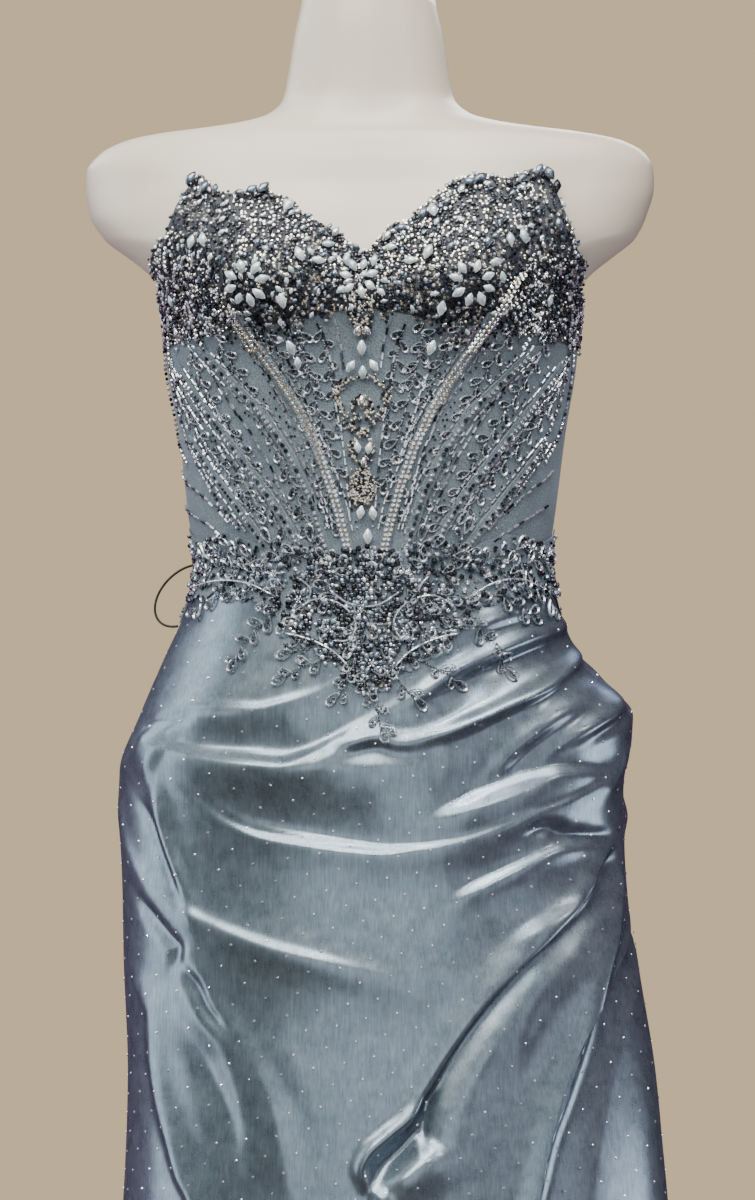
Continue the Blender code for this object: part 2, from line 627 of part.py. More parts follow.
def make_motif():
    """The beaded motif up the centre front, wide and narrow in turn."""
    height = np.linspace(*MOTIF_HEIGHTS, MOTIF_ROWS)
    narrow, wide = MOTIF_HALF_WIDTH
    beat = np.abs(np.sin((height - MOTIF_HEIGHTS[0]) * MOTIF_BEATS)) ** 0.7
    middle = turn_at(MIDDLE_ACROSS + 0 * height, height)
    swing = (narrow + (wide - narrow) * beat) / section_radius(middle, height)[0]
    turn = middle[:, None] + swing[:, None] * np.array((-1.0, 0.0, 1.0))
    wall("center_front_motif", "beads_gunmetal", turn, height[:, None] + 0 * turn,
         LAYER_GAP + LACE_WALL + np.array((0, MOTIF_CREST, 0)) + 0 * turn, LACE_WALL)


def make_placket():
    """The placket over the hooks and eyes at the centre back."""
    height = np.linspace(*PLACKET_HEIGHTS, PLACKET_ROWS)
    swing = PLACKET_HALF_WIDTH / section_radius(np.full(PLACKET_ROWS, math.pi), height)[0]
    turn = math.pi + swing[:, None] * np.array((-1.0, 1.0))
    wall("back_placket", "satin_slate", turn, height[:, None] + 0 * turn, LAYER_GAP + LACE_WALL, LACE_WALL)


def make_hanger_loop():
    """The thin hanging loop sewn at the viewer's left end of the waist seam."""
    ends = layer(np.full(2, LOOP_TURN), np.array(LOOP_HEIGHTS), np.array(LOOP_LIFTS))
    bow = ends.mean(axis=0) + np.array(LOOP_BOW)
    data = bpy.data.curves.new("hanger_loop", "CURVE")
    data.dimensions = "3D"
    spline = data.splines.new("POLY")
    around = np.linspace(0, math.pi, 15)
    middle = ends.mean(axis=0)
    route = [middle + (ends[0] - middle) * math.cos(a) + (bow - middle) * math.sin(a) for a in around]
    spline.points.add(len(route) - 1)
    for point, place in zip(spline.points, route):
        point.co = (*place, 1)
    data.bevel_depth = LOOP_RADIUS
    data.bevel_resolution = 1
    data.use_fill_caps = True
    data.materials.append(material("loop_dark"))
    made = bpy.data.objects.new("hanger_loop", data)
    bpy.data.collections["prom_dress"].objects.link(made)


def main():
    for old in list(bpy.data.objects):
        bpy.data.objects.remove(old, do_unlink=True)
    bpy.context.scene.collection.children.link(bpy.data.collections.new("prom_dress"))
    make_figure()
    make_stand()
    make_bodice()
    make_casings()
    make_skirt()
    make_lace()
    make_motif()
    make_placket()
    make_hanger_loop()


main()
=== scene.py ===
"""The looks of a strapless prom gown on a torso form: satin, mesh, beadwork, form, stand, light and camera."""
import json
import math

import bmesh
import bpy
import numpy as np
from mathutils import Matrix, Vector

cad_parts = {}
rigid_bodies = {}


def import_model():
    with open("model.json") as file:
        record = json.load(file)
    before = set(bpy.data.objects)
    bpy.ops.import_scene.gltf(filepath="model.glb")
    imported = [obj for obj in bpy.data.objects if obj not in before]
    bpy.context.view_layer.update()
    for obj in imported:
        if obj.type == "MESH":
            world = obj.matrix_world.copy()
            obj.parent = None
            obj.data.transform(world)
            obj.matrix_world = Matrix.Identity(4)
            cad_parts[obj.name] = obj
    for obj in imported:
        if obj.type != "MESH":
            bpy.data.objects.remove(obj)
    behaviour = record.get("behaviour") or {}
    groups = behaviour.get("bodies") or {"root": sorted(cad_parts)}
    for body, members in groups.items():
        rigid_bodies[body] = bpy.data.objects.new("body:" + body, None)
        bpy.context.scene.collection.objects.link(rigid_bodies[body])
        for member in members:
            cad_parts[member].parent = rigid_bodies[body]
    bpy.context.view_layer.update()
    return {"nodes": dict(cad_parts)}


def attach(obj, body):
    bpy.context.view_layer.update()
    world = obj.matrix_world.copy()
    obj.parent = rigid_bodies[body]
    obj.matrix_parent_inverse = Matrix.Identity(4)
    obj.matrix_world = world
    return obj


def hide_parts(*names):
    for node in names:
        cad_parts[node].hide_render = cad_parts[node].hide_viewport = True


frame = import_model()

MM = 0.001
rng = np.random.default_rng(7)

# Sizes of the gown, as in its solids: lengths in metres, turns in radians.
HEM_HEIGHT = 0.012
WAIST_SEAM = 1.042
SIDE_SEAM = math.radians(97)
CLOTH = 0.0011
FORM_BOTTOM = 0.790
FORM_TOP = 1.467
FORM_INSET = 0.0038
UNDERARM_HEIGHT = 1.240
BACK_TOP = 1.230
LACE_BACK_END = math.radians(135)
UNDER_TOP = 0.862
UNDER_LAP = math.radians(17)
UNDER_SINK = 0.0055
CASING_WIDTH = 0.0072
LACE_SIDE = math.radians(90)
NET_LIFT = 0.0014
NET_THICKNESS = 0.0008
BEAD_SHARP_DEGREES = 35
GOLDEN_ANGLE = 2.39996

# Steps of the lattice of rhinestones: sideways and up along a row, and from row to row.
STUD_STEPS = ((0.0266, 0.0044), (0.0100, 0.0150))

# A fold grows over this share of its route at either end, and fades over this many mm beyond it.
FOLD_GROWTH = 0.35
FOLD_FADE = 9

# A fold is worked out within this many spreads of its route, and the route at points this far apart.
FOLD_REACH = 3.4
ROUTE_STEP = 0.003

# The folds start just above the waist seam and reach their full height this far below.
FOLDS_TOP = WAIST_SEAM + 0.004
FOLDS_FADE = 0.03

# The top edge slopes down a little from here to centre back.
BACK_SLOPE_TURN = math.radians(125)
BACK_SLOPE_RISE = 0.004

# Metres of cloth per radian of turn: a mean of the figure, and of parts of the bodice.
MEAN_GIRTH = 0.15
BODICE_GIRTH = 0.12
WAIST_GIRTH = 0.105
CUP_GIRTH = 0.100

# Turns at which places of the front are looked up.
FRONT_TURNS = np.radians(np.linspace(-96, 96, 193))
SEEN_TURNS = np.radians(np.linspace(-92, 92, 185))

# Sockets of a colour mix node.
MIX_FACTOR = 0
MIX_FIRST = 6
MIX_SECOND = 7
MIX_COLOUR = 2

# The view: pixels are those of the 755 x 1200 photo, at the distance of the figure's axis.
CAMERA_DISTANCE = 2.5
CAMERA_AZIMUTH = math.radians(2.7)
MM_PER_PIXEL = 0.72
PHOTO_WIDTH = 755
PHOTO_HEIGHT = 1200
AXIS_PIXEL = 368
VIEW_HEIGHT = 1.035
SENSOR = 36

# Outline of the dressed figure: centre is the lean of the section, roundness 2 is an ellipse.
SECTIONS = np.array([
    # height, centre, left, right, front, back, roundness
    (12, 4, 246, 262, 240, 292, 2.0),
    (150, 4, 226, 246, 210, 262, 2.0),
    (320, 4, 203, 228, 176, 226, 2.0),
    (480, 4, 187, 215, 150, 192, 2.0),
    (603, 4, 180, 207, 134, 166, 2.1),
    (697, 4, 177, 198, 124, 150, 2.1),
    (780, 4, 180, 187, 115, 139, 2.2),
    (843, 4, 181, 181, 109, 131, 2.2),
    (911, 4, 183, 178, 104, 124, 2.2),
    (953, 4, 168, 165, 101, 115, 2.2),
    (995, 4, 150, 147, 96, 103, 2.1),
    (1021, 4, 138, 136, 92, 94, 2.1),
    (1042, 4, 131, 129, 90, 90, 2.1),
    (1060, 4, 126, 126, 89, 88, 2.1),
    (1092, 3, 132, 131, 91, 89, 2.1),
    (1154, 3, 139, 139, 97, 91, 2.1),
    (1205, 3, 148, 147, 100, 94, 2.1),
    (1235, 3, 149, 149, 101, 97, 2.2),
    (1252, 2, 152, 152, 99, 98, 2.3),
    (1262, 2, 161, 160, 97, 98, 2.4),
    (1276, 2, 179, 178, 94, 97, 2.5),
    (1290, 2, 197, 195, 91, 96, 2.5),
    (1310, 1, 208, 206, 87, 94, 2.5),
    (1330, 1, 211, 211, 82, 91, 2.5),
    (1345, 1, 209, 209, 78, 86, 2.5),
    (1357, 1, 199, 201, 73, 80, 2.5),
    (1366, 1, 183, 185, 69, 75, 2.5),
    (1371, 0, 164, 164, 65, 71, 2.4),
    (1375, 0, 131, 132, 63, 69, 2.3),
    (1380, 0, 97, 100, 61, 66, 2.2),
    (1386, 0, 76, 78, 60, 63, 2.1),
    (1396, 0, 65, 66, 59, 61, 2.0),
    (1415, 0, 61, 62, 58, 59, 2.0),
    (1440, 0, 57, 58, 57, 58, 2.0),
    (1467, 0, 51, 52, 55, 56, 2.0),
], dtype=float)

BUST = {"across": 0.080, "height": 1.262, "reach": 0.030, "across_spread": 0.043,
        "up_spread": 0.042, "down_spread": 0.031}
HIP_PUFF = {"turn": math.radians(88), "height": 0.958, "lift": 0.021, "turn_spread": 0.36,
            "up_spread": 0.016, "down_spread": 0.023}

# Folds of the skirt's front, each along a route on the photo. Above is the left side of the way it runs.
BIG_DRAPE = ((120, 800), (123, 817), (130, 849), (147, 880), (168, 901), (191, 914), (217, 927), (246, 939),
             (281, 951), (316, 960), (351, 969), (385, 977), (425, 981), (470, 977), (505, 961), (540, 943),
             (569, 926), (593, 899), (611, 870))
FRONT_FOLDS = [
    # name, lift, spread above, spread below (mm), strength at start, at end, route
    ("line a", 1.7, 2.6, 14, .3, .2, ((160, 722), (175, 713), (214, 708), (256, 709), (288, 702), (316, 693),
     (334, 685))),
    ("line b", 1.0, 2.4, 6, .3, .1, ((158, 726), (196, 717), (235, 717), (262, 712))),
    ("line a shade", -2.5, 3, 4, .8, .1, ((142, 729), (151, 724), (175, 717), (200, 713))),
    ("hip hollow", -3.0, 14, 3.6, .3, .2, ((180, 742), (210, 748), (240, 751), (284, 754), (315, 744))),
    ("belly ridge", 3.2, 3.4, 12, .6, .4, ((147, 738), (172, 750), (210, 757), (246, 760), (284, 765),
     (312, 756), (333, 744), (358, 729), (374, 719))),
    ("hip corner", 4, 12, 12, .4, .1, ((138, 744), (152, 752), (168, 761))),
    ("small roll", 4, 5, 4, .3, .4, ((335, 752), (351, 743), (379, 737), (396, 741), (404, 743))),
    ("pleat one", 4.6, 4, 4.5, .4, 1, ((400, 743), (442, 733), (477, 719), (509, 703), (541, 686), (562, 670),
     (579, 656))),
    ("pleat one shade", -5, 5, 16, .1, .9, ((440, 745), (480, 732), (513, 715), (545, 697), (568, 680),
     (586, 662))),
    ("pleat one hollow", -4.4, 13, 3.2, .2, .8, ((430, 726), (477, 707), (509, 691), (541, 674), (562, 659))),
    ("pleat two", 3, 4, 4, .3, .8, ((397, 707), (421, 694), (456, 670), (484, 656), (513, 643), (540, 632),
     (566, 623))),
    ("pleat two hollow", -4.5, 4, 10, .2, .7, ((430, 705), (465, 685), (500, 668), (540, 652), (566, 640))),
    ("pleat three", 2, 5, 4, .2, .7, ((450, 636), (488, 622), (520, 612), (548, 606))),
    ("pleat three shade", -2, 4, 5, .2, .6, ((470, 642), (500, 630), (530, 622), (560, 612))),
    ("thigh hollow", -3.9, 26, 2.0, .3, .2, ((203, 798), (228, 817), (262, 831), (300, 838), (351, 845),
     (390, 848), (425, 842))),
    ("mid drape", 2.5, 2.6, 13, .3, .8, ((203, 786), (221, 807), (246, 823), (281, 834), (316, 841),
     (351, 847), (386, 851), (421, 850), (456, 844), (491, 833), (527, 818), (562, 805), (594, 787))),
    ("mid drape body", 1.6, 12, 20, .1, .6, ((350, 830), (420, 826), (470, 812), (527, 798), (575, 786))),
    ("lens top", 2.2, 3, 9, .1, .9, ((425, 826), (456, 816), (491, 805), (527, 792), (558, 777), (586, 774),
     (600, 786))),
    ("lens shade", -4.8, 12, 3.2, .1, .7, ((425, 812), (456, 799), (491, 784), (527, 771), (560, 763),
     (594, 764))),
    ("lens notch", -4.5, 4, 4, .2, .8, ((520, 838), (548, 828), (572, 836), (600, 836))),
    ("low lens", 2.2, 3.6, 6, .1, .9, ((440, 912), (474, 893), (509, 875), (544, 857), (574, 844))),
    ("low lens hollow", -3, 12, 3, .1, .7, ((445, 893), (480, 878), (515, 862), (550, 846), (580, 838))),
    ("big drape", 1.6, 9, 20, .7, .5, BIG_DRAPE),
    ("big drape line", 2.2, 3.2, 9, .7, .3, BIG_DRAPE[1:12]),
    ("big drape body", 2.2, 30, 24, .1, .2, ((150, 880), (200, 915), (290, 945), (385, 962), (470, 962),
     (550, 925))),
    ("belly body", 5.5, 9, 24, .3, .2, ((165, 764), (230, 768), (300, 770), (380, 770), (450, 765))),
    ("left facet", 4.5, 4, 5, .2, .3, ((151, 768), (161, 807), (168, 842), (186, 891), (193, 912))),
    ("left facet shade", -3, 3, 3, .2, .4, ((137, 796), (151, 821), (165, 856), (181, 900))),
    ("deep fold", -9, 3.6, 10, .6, .8, ((428, 1138), (430, 1106), (439, 1085), (460, 1050), (488, 1011),
     (520, 976), (555, 944), (586, 906), (611, 866))),
    ("deep fold lip", 6, 10, 3.4, .4, .8, ((414, 1113), (432, 1085), (456, 1043), (491, 997), (530, 955),
     (562, 923), (590, 890))),
    ("lens three", 2.2, 4, 5, .1, .6, ((505, 950), (530, 932), (560, 915), (585, 902))),
    ("deep fold under", 1.5, 7, 12, .2, .5, ((445, 1110), (462, 1068), (498, 1022), (535, 984), (566, 948),
     (597, 912))),
    ("pocket", -8, 6, 6, .5, .6, ((372, 1187), (384, 1168), (403, 1150), (420, 1130), (429, 1105))),
    ("pocket rim", 5, 4.5, 3.5, .6, .3, ((378, 1196), (366, 1184), (362, 1170), (368, 1155), (386, 1138),
     (410, 1117), (425, 1095))),
    ("pocket foot", 6, 6, 14, .3, .3, ((386, 1196), (408, 1177), (430, 1155), (440, 1135))),
    ("soft hollow", -3.2, 13, 13, .2, .2, ((480, 1150), (488, 1134), (513, 1085), (537, 1043), (558, 993),
     (575, 950))),
    ("soft line", 1.4, 7, 7, .2, .2, ((500, 1110), (516, 1071), (530, 1025), (545, 990))),
    ("edge roll", 6, 8, 4, .8, .6, ((538, 1200), (541, 1187), (551, 1141), (565, 1099), (579, 1057),
     (593, 1011), (604, 965), (614, 930), (620, 885))),
    ("under ridge", 6, 26, 15, .1, .4, ((676, 1460), (668, 1340), (660, 1220), (650, 1110), (641, 1010),
     (634, 940))),
    ("left line", 4.4, 4.5, 9, .3, .4, ((215, 1290), (193, 1199), (182, 1176), (172, 1141), (161, 1099),
     (154, 1057), (151, 1018), (138, 983))),
    ("left crease", -3.8, 4, 4, .2, .4, ((137, 890), (150, 912), (168, 936), (178, 948), (172, 968))),
    ("left crease two", -3.5, 4, 4, .3, .2, ((179, 962), (196, 986), (209, 1011), (235, 1039))),
    ("left bright", 3.2, 9, 12, .2, .2, ((189, 923), (189, 951), (200, 979), (210, 1011), (239, 1043),
     (263, 1085), (277, 1127), (284, 1169), (292, 1240))),
    ("left second", 1.6, 9, 9, .2, .2, ((214, 1020), (224, 1057), (239, 1099), (246, 1148), (252, 1210))),
    ("left hollow", -2.4, 9, 9, .2, .2, ((172, 1010), (196, 1050), (217, 1090), (232, 1130), (240, 1190))),
    ("patch", 1.2, 12, 9, .2, .2, ((256, 1018), (280, 1056), (300, 1080), (314, 1100))),
    ("fan one", 2.5, 5, 6, .1, .5, ((480, 790), (505, 765), (538, 730), (570, 700))),
    ("fan two", -3.5, 5, 5, .1, .6, ((500, 785), (528, 755), (556, 728), (585, 698))),
    ("fan three", 3, 5, 5, .2, .6, ((552, 752), (572, 730), (590, 710), (604, 690))),
    ("fan four", -2.5, 4, 4, .2, .5, ((575, 745), (592, 728), (606, 708))),
    ("side puff", 3, 6, 6, .2, .4, ((600, 800), (612, 775), (620, 748))),
]

# Folds of the sides and back, which the photo doesn't show, by turn in degrees and height in mm.
BACK_FOLDS = [
    # name, lift, spread above, spread below (mm), strength at start, at end, route
    ("back pleat one", 7, 12, 7, .9, .1, ((100, 985), (118, 962), (138, 950), (160, 948))),
    ("back pleat two", 6, 10, 8, .9, .1, ((99, 955), (120, 925), (142, 905), (168, 900))),
    ("back drape", 6, 16, 10, .9, .1, ((98, 880), (118, 840), (140, 815), (165, 806))),
    ("back left drape", 6, 15, 9, .1, .7, ((-165, 815), (-140, 822), (-118, 850), (-99, 885))),
    ("back left line", 4, 8, 9, .1, .6, ((-160, 930), (-138, 934), (-115, 945), (-99, 958))),
    ("back column left", 5, 16, 16, .1, .2, ((-150, 780), (-152, 640), (-156, 460))),
    ("back column right", 5, 16, 16, .1, .2, ((150, 770), (154, 620), (158, 450))),
    ("low edge roll", 5, 8, 4, .4, .8, ((22, 30), (26, 200), (34, 400), (43, 590))),
    ("hem crease one", 7, 9, 14, .1, .5, ((-24, 560), (-26, 400), (-30, 200), (-32, 30))),
    ("hem crease two", -6, 12, 12, .1, .6, ((-52, 540), (-50, 380), (-52, 180), (-53, 30))),
    ("hem crease three", 8, 16, 11, .1, .5, ((4, 540), (6, 380), (8, 200), (9, 30))),
    ("left side crease", 8, 9, 15, .1, .5, ((-78, 600), (-80, 420), (-84, 220), (-86, 30))),
    ("right side crease", 8, 15, 10, .1, .5, ((72, 560), (75, 400), (78, 210), (80, 30))),
    ("back crease one", 9, 12, 20, .1, .6, ((-108, 700), (-112, 500), (-114, 260), (-115, 30))),
    ("back crease two", -7, 12, 12, .1, .5, ((-142, 660), (-143, 460), (-144, 240), (-144, 30))),
    ("back crease three", 9, 20, 11, .1, .6, ((-170, 560), (-169, 380), (-168, 200), (-167, 30))),
    ("back crease four", 8, 12, 20, .1, .6, ((168, 620), (167, 420), (166, 220), (165, 30))),
    ("back crease five", -7, 12, 12, .1, .5, ((138, 640), (137, 420), (136, 220), (136, 30))),
    ("back crease six", 9, 20, 11, .1, .6, ((108, 700), (106, 500), (105, 260), (104, 30))),
]

FLUTES = [
    # turn, lift, spread in degrees, height where it dies out
    (-160, 16, 11, 560), (-128, 13, 12, 600), (-98, 12, 9, 520), (-66, 14, 10, 470), (-38, 10, 9, 430),
    (-12, 16, 10, 520), (28, 13, 8, 430), (58, 10, 9, 500), (90, 15, 10, 560), (122, 14, 11, 620),
    (152, 15, 11, 540), (178, 12, 10, 480),
]

NECKLINE_LEFT = [
    # across, height
    (0, 1274), (-8, 1282), (-18, 1290), (-28, 1296), (-41, 1302), (-48, 1312), (-61, 1316), (-67, 1322),
    (-79, 1317), (-99, 1318), (-109, 1328), (-115, 1332), (-126, 1318), (-137, 1290), (-146, 1256),
]
NECKLINE_RIGHT = [
    (0, 1274), (9, 1279), (19, 1293), (29, 1295), (41, 1304), (53, 1316), (60, 1322), (76, 1331), (90, 1329),
    (103, 1328), (119, 1336), (129, 1334), (134, 1322), (143, 1300), (149, 1280), (152, 1256),
]
CUP_SEAM = np.array([(0, 1237), (15, 1232), (35, 1225), (60, 1219), (97, 1210)])
SEAM_LINES = {
    # distance from centre front at each height
    "princess": np.array([(1030, 8), (1068, 12), (1090, 17), (1114, 24), (1139, 33), (1165, 45),
                          (1189, 60), (1218, 80), (1250, 98)]),
    "second": np.array([(1030, 20), (1068, 27), (1109, 40), (1136, 53), (1164, 71), (1190, 97),
                        (1222, 128)]),
    "side_front": np.array([(1030, 32), (1068, 45), (1086, 54), (1108, 68), (1128, 83), (1148, 98),
                            (1172, 116), (1198, 134), (1222, 145)]),
    "low": np.array([(1040, 52), (1064, 66), (1079, 75), (1102, 92), (1124, 109), (1146, 124),
                     (1160, 134)]),
}
OVERLAY_EDGE = np.array([(12, 24), (200, 28), (400, 36), (603, 45), (669, 51), (726, 60), (775, 74),
                         (804, 86), (830, 97), (900, 97)])


# Pixel column of centre front; beyond FLANK_START pixels from it, the right side shows this share more.
FRONT_PIXEL = 362
FLANK_START = 150
FLANK_SHARE = 0.35

LOOP_TURN = math.radians(-91)
LOOP_HEIGHTS = (1.060, 1.0155)
LOOP_LIFTS = (0.0046, 0.0015)
LOOP_BOW = (-0.022, 0.004, -0.004)
LOOP_RADIUS = 0.0009

LACE_TOP = [
    (-150, 1092), (-120, 1078), (-95, 1083), (-70, 1073), (-45, 1079), (-20, 1070), (4, 1074), (28, 1070),
    (50, 1080), (75, 1072), (100, 1082), (125, 1076), (150, 1086),
]

# Lower edge of the waist net, at photo pixels.
WAIST_NET = [
    (176, 596), (190, 606), (205, 604), (222, 598), (240, 604), (258, 612), (272, 620), (284, 640), (300, 652),
    (318, 660), (334, 672), (350, 690), (362, 700), (376, 704), (390, 694), (404, 680), (420, 668), (440, 656),
    (458, 642), (470, 628), (484, 616), (500, 606), (520, 604), (540, 606), (556, 600),
]
WAIST_SPRIGS = [
    # photo_x, photo_y from stem to tip
    ((282, 606), (266, 622), (248, 640), (238, 658)),
    ((262, 588), (238, 590), (216, 598), (198, 610)),
    ((272, 575), (250, 570), (225, 566), (196, 574)),
    ((335, 655), (318, 662), (300, 668), (286, 676)),
    ((320, 640), (304, 648), (292, 652)),
    ((352, 676), (345, 686), (338, 694)),
    ((372, 690), (376, 708), (381, 728)),
    ((404, 656), (422, 662), (438, 670), (456, 681)),
    ((398, 680), (406, 690), (414, 698)),
    ((464, 606), (472, 622), (492, 644), (511, 668)),
    ((480, 590), (500, 598), (516, 608), (530, 616)),
    ((500, 580), (522, 584), (540, 594), (550, 608)),
    ((270, 580), (245, 558), (215, 548)),
    ((290, 572), (280, 556), (272, 542)),
    ((318, 575), (314, 556), (312, 540)),
    ((410, 575), (416, 556), (420, 540)),
    ((448, 574), (456, 552), (464, 532)),
    ((470, 572), (496, 556), (522, 546)),
    ((500, 574), (528, 562), (550, 552)),
]
WAIST_FLOWERS = [
    (276, 574), (300, 600), (330, 630), (372, 664), (405, 632), (446, 600), (468, 560), (362, 612),
]
WAIST_SCROLLS = [
    ((296, 612), (316, 600), (340, 604), (356, 622), (350, 640), (332, 642)),
    ((452, 606), (432, 596), (408, 602), (394, 620), (400, 638), (418, 640)),
    ((330, 590), (350, 604), (376, 606), (400, 592)),
    ((286, 634), (310, 640), (334, 652), (350, 668)),
    ((458, 634), (434, 640), (410, 652), (394, 668)),
    ((196, 590), (222, 582), (250, 584), (276, 596)),
    ((540, 590), (516, 580), (490, 584), (468, 598)),
    ((300, 578), (312, 590), (308, 606)),
    ((428, 576), (418, 590), (424, 606)),
]
CASING_TRIMS = {
    # top, rows across the casing, finish, bead, spacing, size
    "princess": (1.2335, (-0.45, 0.45), "champagne clear", "chaton", 0.0035, 0.0033),
    "second": (1.213, (0.0,), "clear silver gunmetal", "round", 0.0040, 0.0033),
    "side_front": (1.203, (0.0,), "clear silver gunmetal", "round", 0.0038, 0.0031),
    "low": (1.152, (0.0,), "gunmetal silver", "round", 0.0034, 0.0027),
}
STONES = {
    # finish: photo_x, photo_y, length in mm and turn in degrees of each stone
    "slate": ((193, 181, 9, 60), (206, 190, 9, 75), (217, 191, 6, 90), (240, 196, 7, 10), (252, 193, 8, 40),
        (264, 191, 9, 50), (321, 233, 6, 30), (258, 244, 6, 90), (271, 247, 6, 60), (206, 316, 7, 120),
        (548, 176, 9, 110), (538, 172, 8, 60), (521, 181, 8, 50), (480, 181, 9, 30), (470, 185, 8, 0),
        (448, 204, 6, 40), (424, 216, 8, 60), (402, 230, 7, 10), (487, 243, 6, 90), (452, 248, 6, 60),
        (556, 226, 8, 95)),
    "gunmetal": ((199, 199, 7, 20), (272, 200, 7, -30), (555, 188, 8, 80), (508, 186, 7, 120)),
    "opal": ((288, 208, 9, 60), (327, 246, 7, 0), (346, 262, 7, 100), (195, 243, 8, 80), (206, 241, 8, 100),
        (298, 256, 9, 110), (317, 262, 8, -10), (282, 299, 9, 105), (292, 346, 9, 110), (176, 300, 7, 95),
        (299, 362, 7, 95), (434, 213, 9, 110), (392, 249, 7, 0), (375, 262, 7, 80), (508, 241, 8, 90),
        (521, 238, 9, 100), (430, 254, 9, 70), (412, 262, 8, 0), (442, 306, 9, 75), (545, 300, 7, 85),
        (431, 346, 9, 70), (494, 262, 8, 10), (500, 276, 7, 110)),
    "silver": ((297, 214, 5, 10), (335, 234, 7, 60), (181, 332, 6, 100), (236, 312, 6, 80), (462, 192, 7, 70),
        (388, 238, 7, 60), (535, 330, 6, 60)),
}
VINES = [
    # photo_x, photo_y, from the cup down
    ((320, 326), (327, 356), (333, 390), (337, 424)),
    ((286, 326), (300, 348), (312, 376)),
    ((300, 318), (304, 350), (314, 392), (326, 436), (338, 480)),
    ((262, 322), (278, 352), (296, 392), (312, 436), (324, 478), (334, 522)),
    ((210, 322), (226, 352), (250, 392), (274, 438), (294, 486), (310, 534)),
    ((186, 330), (196, 366), (218, 410), (244, 452), (268, 496), (288, 536)),
    ((172, 356), (182, 400), (204, 440), (232, 476), (258, 512)),
]
SIDE_ROWS = [
    ((165, 300), (167, 340), (170, 390), (177, 430), (188, 462)),
    ((169, 335), (173, 378), (182, 420), (196, 458), (218, 500), (240, 530)),
]
BUGLE_LINES = [
    ((318, 322), (328, 348), (334, 380), (340, 420), (346, 470), (350, 520)),
    ((334, 318), (340, 345), (343, 372)),
    ((284, 350), (298, 380), (310, 412), (322, 452)),
    ((238, 330), (262, 366), (284, 410), (302, 458), (318, 512)),
    ((196, 345), (226, 396), (262, 450), (290, 510)),
    ((176, 380), (200, 424), (236, 470), (266, 520)),
    ((182, 470), (206, 498), (232, 524)),
    ((186, 505), (208, 524), (228, 540)),
]
CUP_ROWS = [
    ((170, 236), (169, 270), (170, 305), (172, 340)),
    ((178, 262), (178, 300), (182, 340)),
    ((190, 300), (196, 326), (206, 350)),
]
MOTIF_LINES = [
    ((359, 292), (352, 306), (354, 322), (360, 334)),
    ((361, 376), (348, 380), (338, 389), (339, 405), (349, 420), (361, 432)),
    ((361, 396), (355, 402), (353, 410), (361, 420)),
    ((361, 430), (354, 440), (352, 452), (358, 462)),
    ((361, 508), (354, 500), (351, 488), (355, 474), (361, 468)),
]
MOTIF_STONES = {
    # finish: photo_x, photo_y, length in mm and turn in degrees of each stone
    "opal": ((362, 347, 9, 90), (351, 366, 8, 55), (363, 372, 8, 90), (374, 365, 8, 125), (358, 447, 7, 100),
        (369, 448, 7, 80), (361, 512, 8, 80), (373, 513, 8, 100), (368, 536, 9, 90), (340, 290, 6, 40),
        (382, 292, 6, -40)),
    "silver": ((357, 330, 6, 60), (368, 330, 6, 120), (364, 462, 6, 90), (348, 282, 6, 20), (370, 284, 6, -20)),
    "champagne": ((362, 402, 8, 90),),
}


def smooth_columns(table, at):
    """Each column of a table at any first-column value, on a smooth curve that doesn't overshoot."""
    keys = table[:, 0]
    at = np.clip(at, keys[0], keys[-1])
    step = np.diff(keys)[:, None]
    slope = np.diff(table[:, 1:], axis=0) / step
    steady = slope[:-1] * slope[1:] > 0
    inner = np.where(steady, 2 * slope[:-1] * slope[1:] / np.where(steady, slope[:-1] + slope[1:], 1), 0)
    tangent = np.vstack([slope[:1], inner, slope[-1:]])
    i = np.clip(np.searchsorted(keys, at, side="right") - 1, 0, len(keys) - 2)
    h = (keys[i + 1] - keys[i])[..., None]
    t = ((at - keys[i]) / (keys[i + 1] - keys[i]))[..., None]
    low = table[i, 1:]
    high = table[i + 1, 1:]
    return (low * (2 * t**3 - 3 * t**2 + 1) + high * (3 * t**2 - 2 * t**3)
            + tangent[i] * h * (t**3 - 2 * t**2 + t) + tangent[i + 1] * h * (t**3 - t**2))


def section_radius(turn, height):
    """Radius of the plain outline at a turn and height, and the section's centre in X."""
    centre, left, right, front, back, roundness = np.moveaxis(smooth_columns(SECTIONS, height / MM), -1, 0)
    side = np.where(np.sin(turn) < 0, left, right) * MM
    depth = np.where(np.cos(turn) > 0, front, back) * MM
    reach = np.abs(np.sin(turn) / side) ** roundness + np.abs(np.cos(turn) / depth) ** roundness
    return reach ** (-1 / roundness), centre * MM


def turn_at(across, height):
    """Turn of the point of the front that lies at X = across, in metres, at a height."""
    found = []
    for x, z in zip(np.ravel(across), np.ravel(height)):
        radius, centre = section_radius(FRONT_TURNS, np.full_like(FRONT_TURNS, z))
        found.append(np.interp(x, centre + radius * np.sin(FRONT_TURNS), FRONT_TURNS))
    return np.array(found)


def spread_falloff(distance, plus_spread, minus_spread):
    """Bell curve with its own width on each side of zero."""
    spread = np.where(distance > 0, plus_spread, minus_spread)
    return np.exp(-0.5 * (distance / spread) ** 2)


def girth_scale(height):
    """Metres of cloth per radian of turn, about, at a height."""
    front, side = smooth_columns(SECTIONS[:, [0, 4, 3]], height / MM)[..., 0:2].T
    return (0.5 * (front + side) * MM).T


def fold_route(places):
    """A fold's route as girth and height on a smooth curve, with the distance run along it, 0 to 1."""
    flat = np.column_stack([places[:, 0] * girth_scale(places[:, 1]), places[:, 1]])
    run = np.concatenate([[0], np.cumsum(np.linalg.norm(np.diff(flat, axis=0), axis=1))])
    at = np.linspace(0, run[-1], int(run[-1] / ROUTE_STEP) + 8)
    return smooth_columns(np.column_stack([run, flat]), at), at / run[-1]


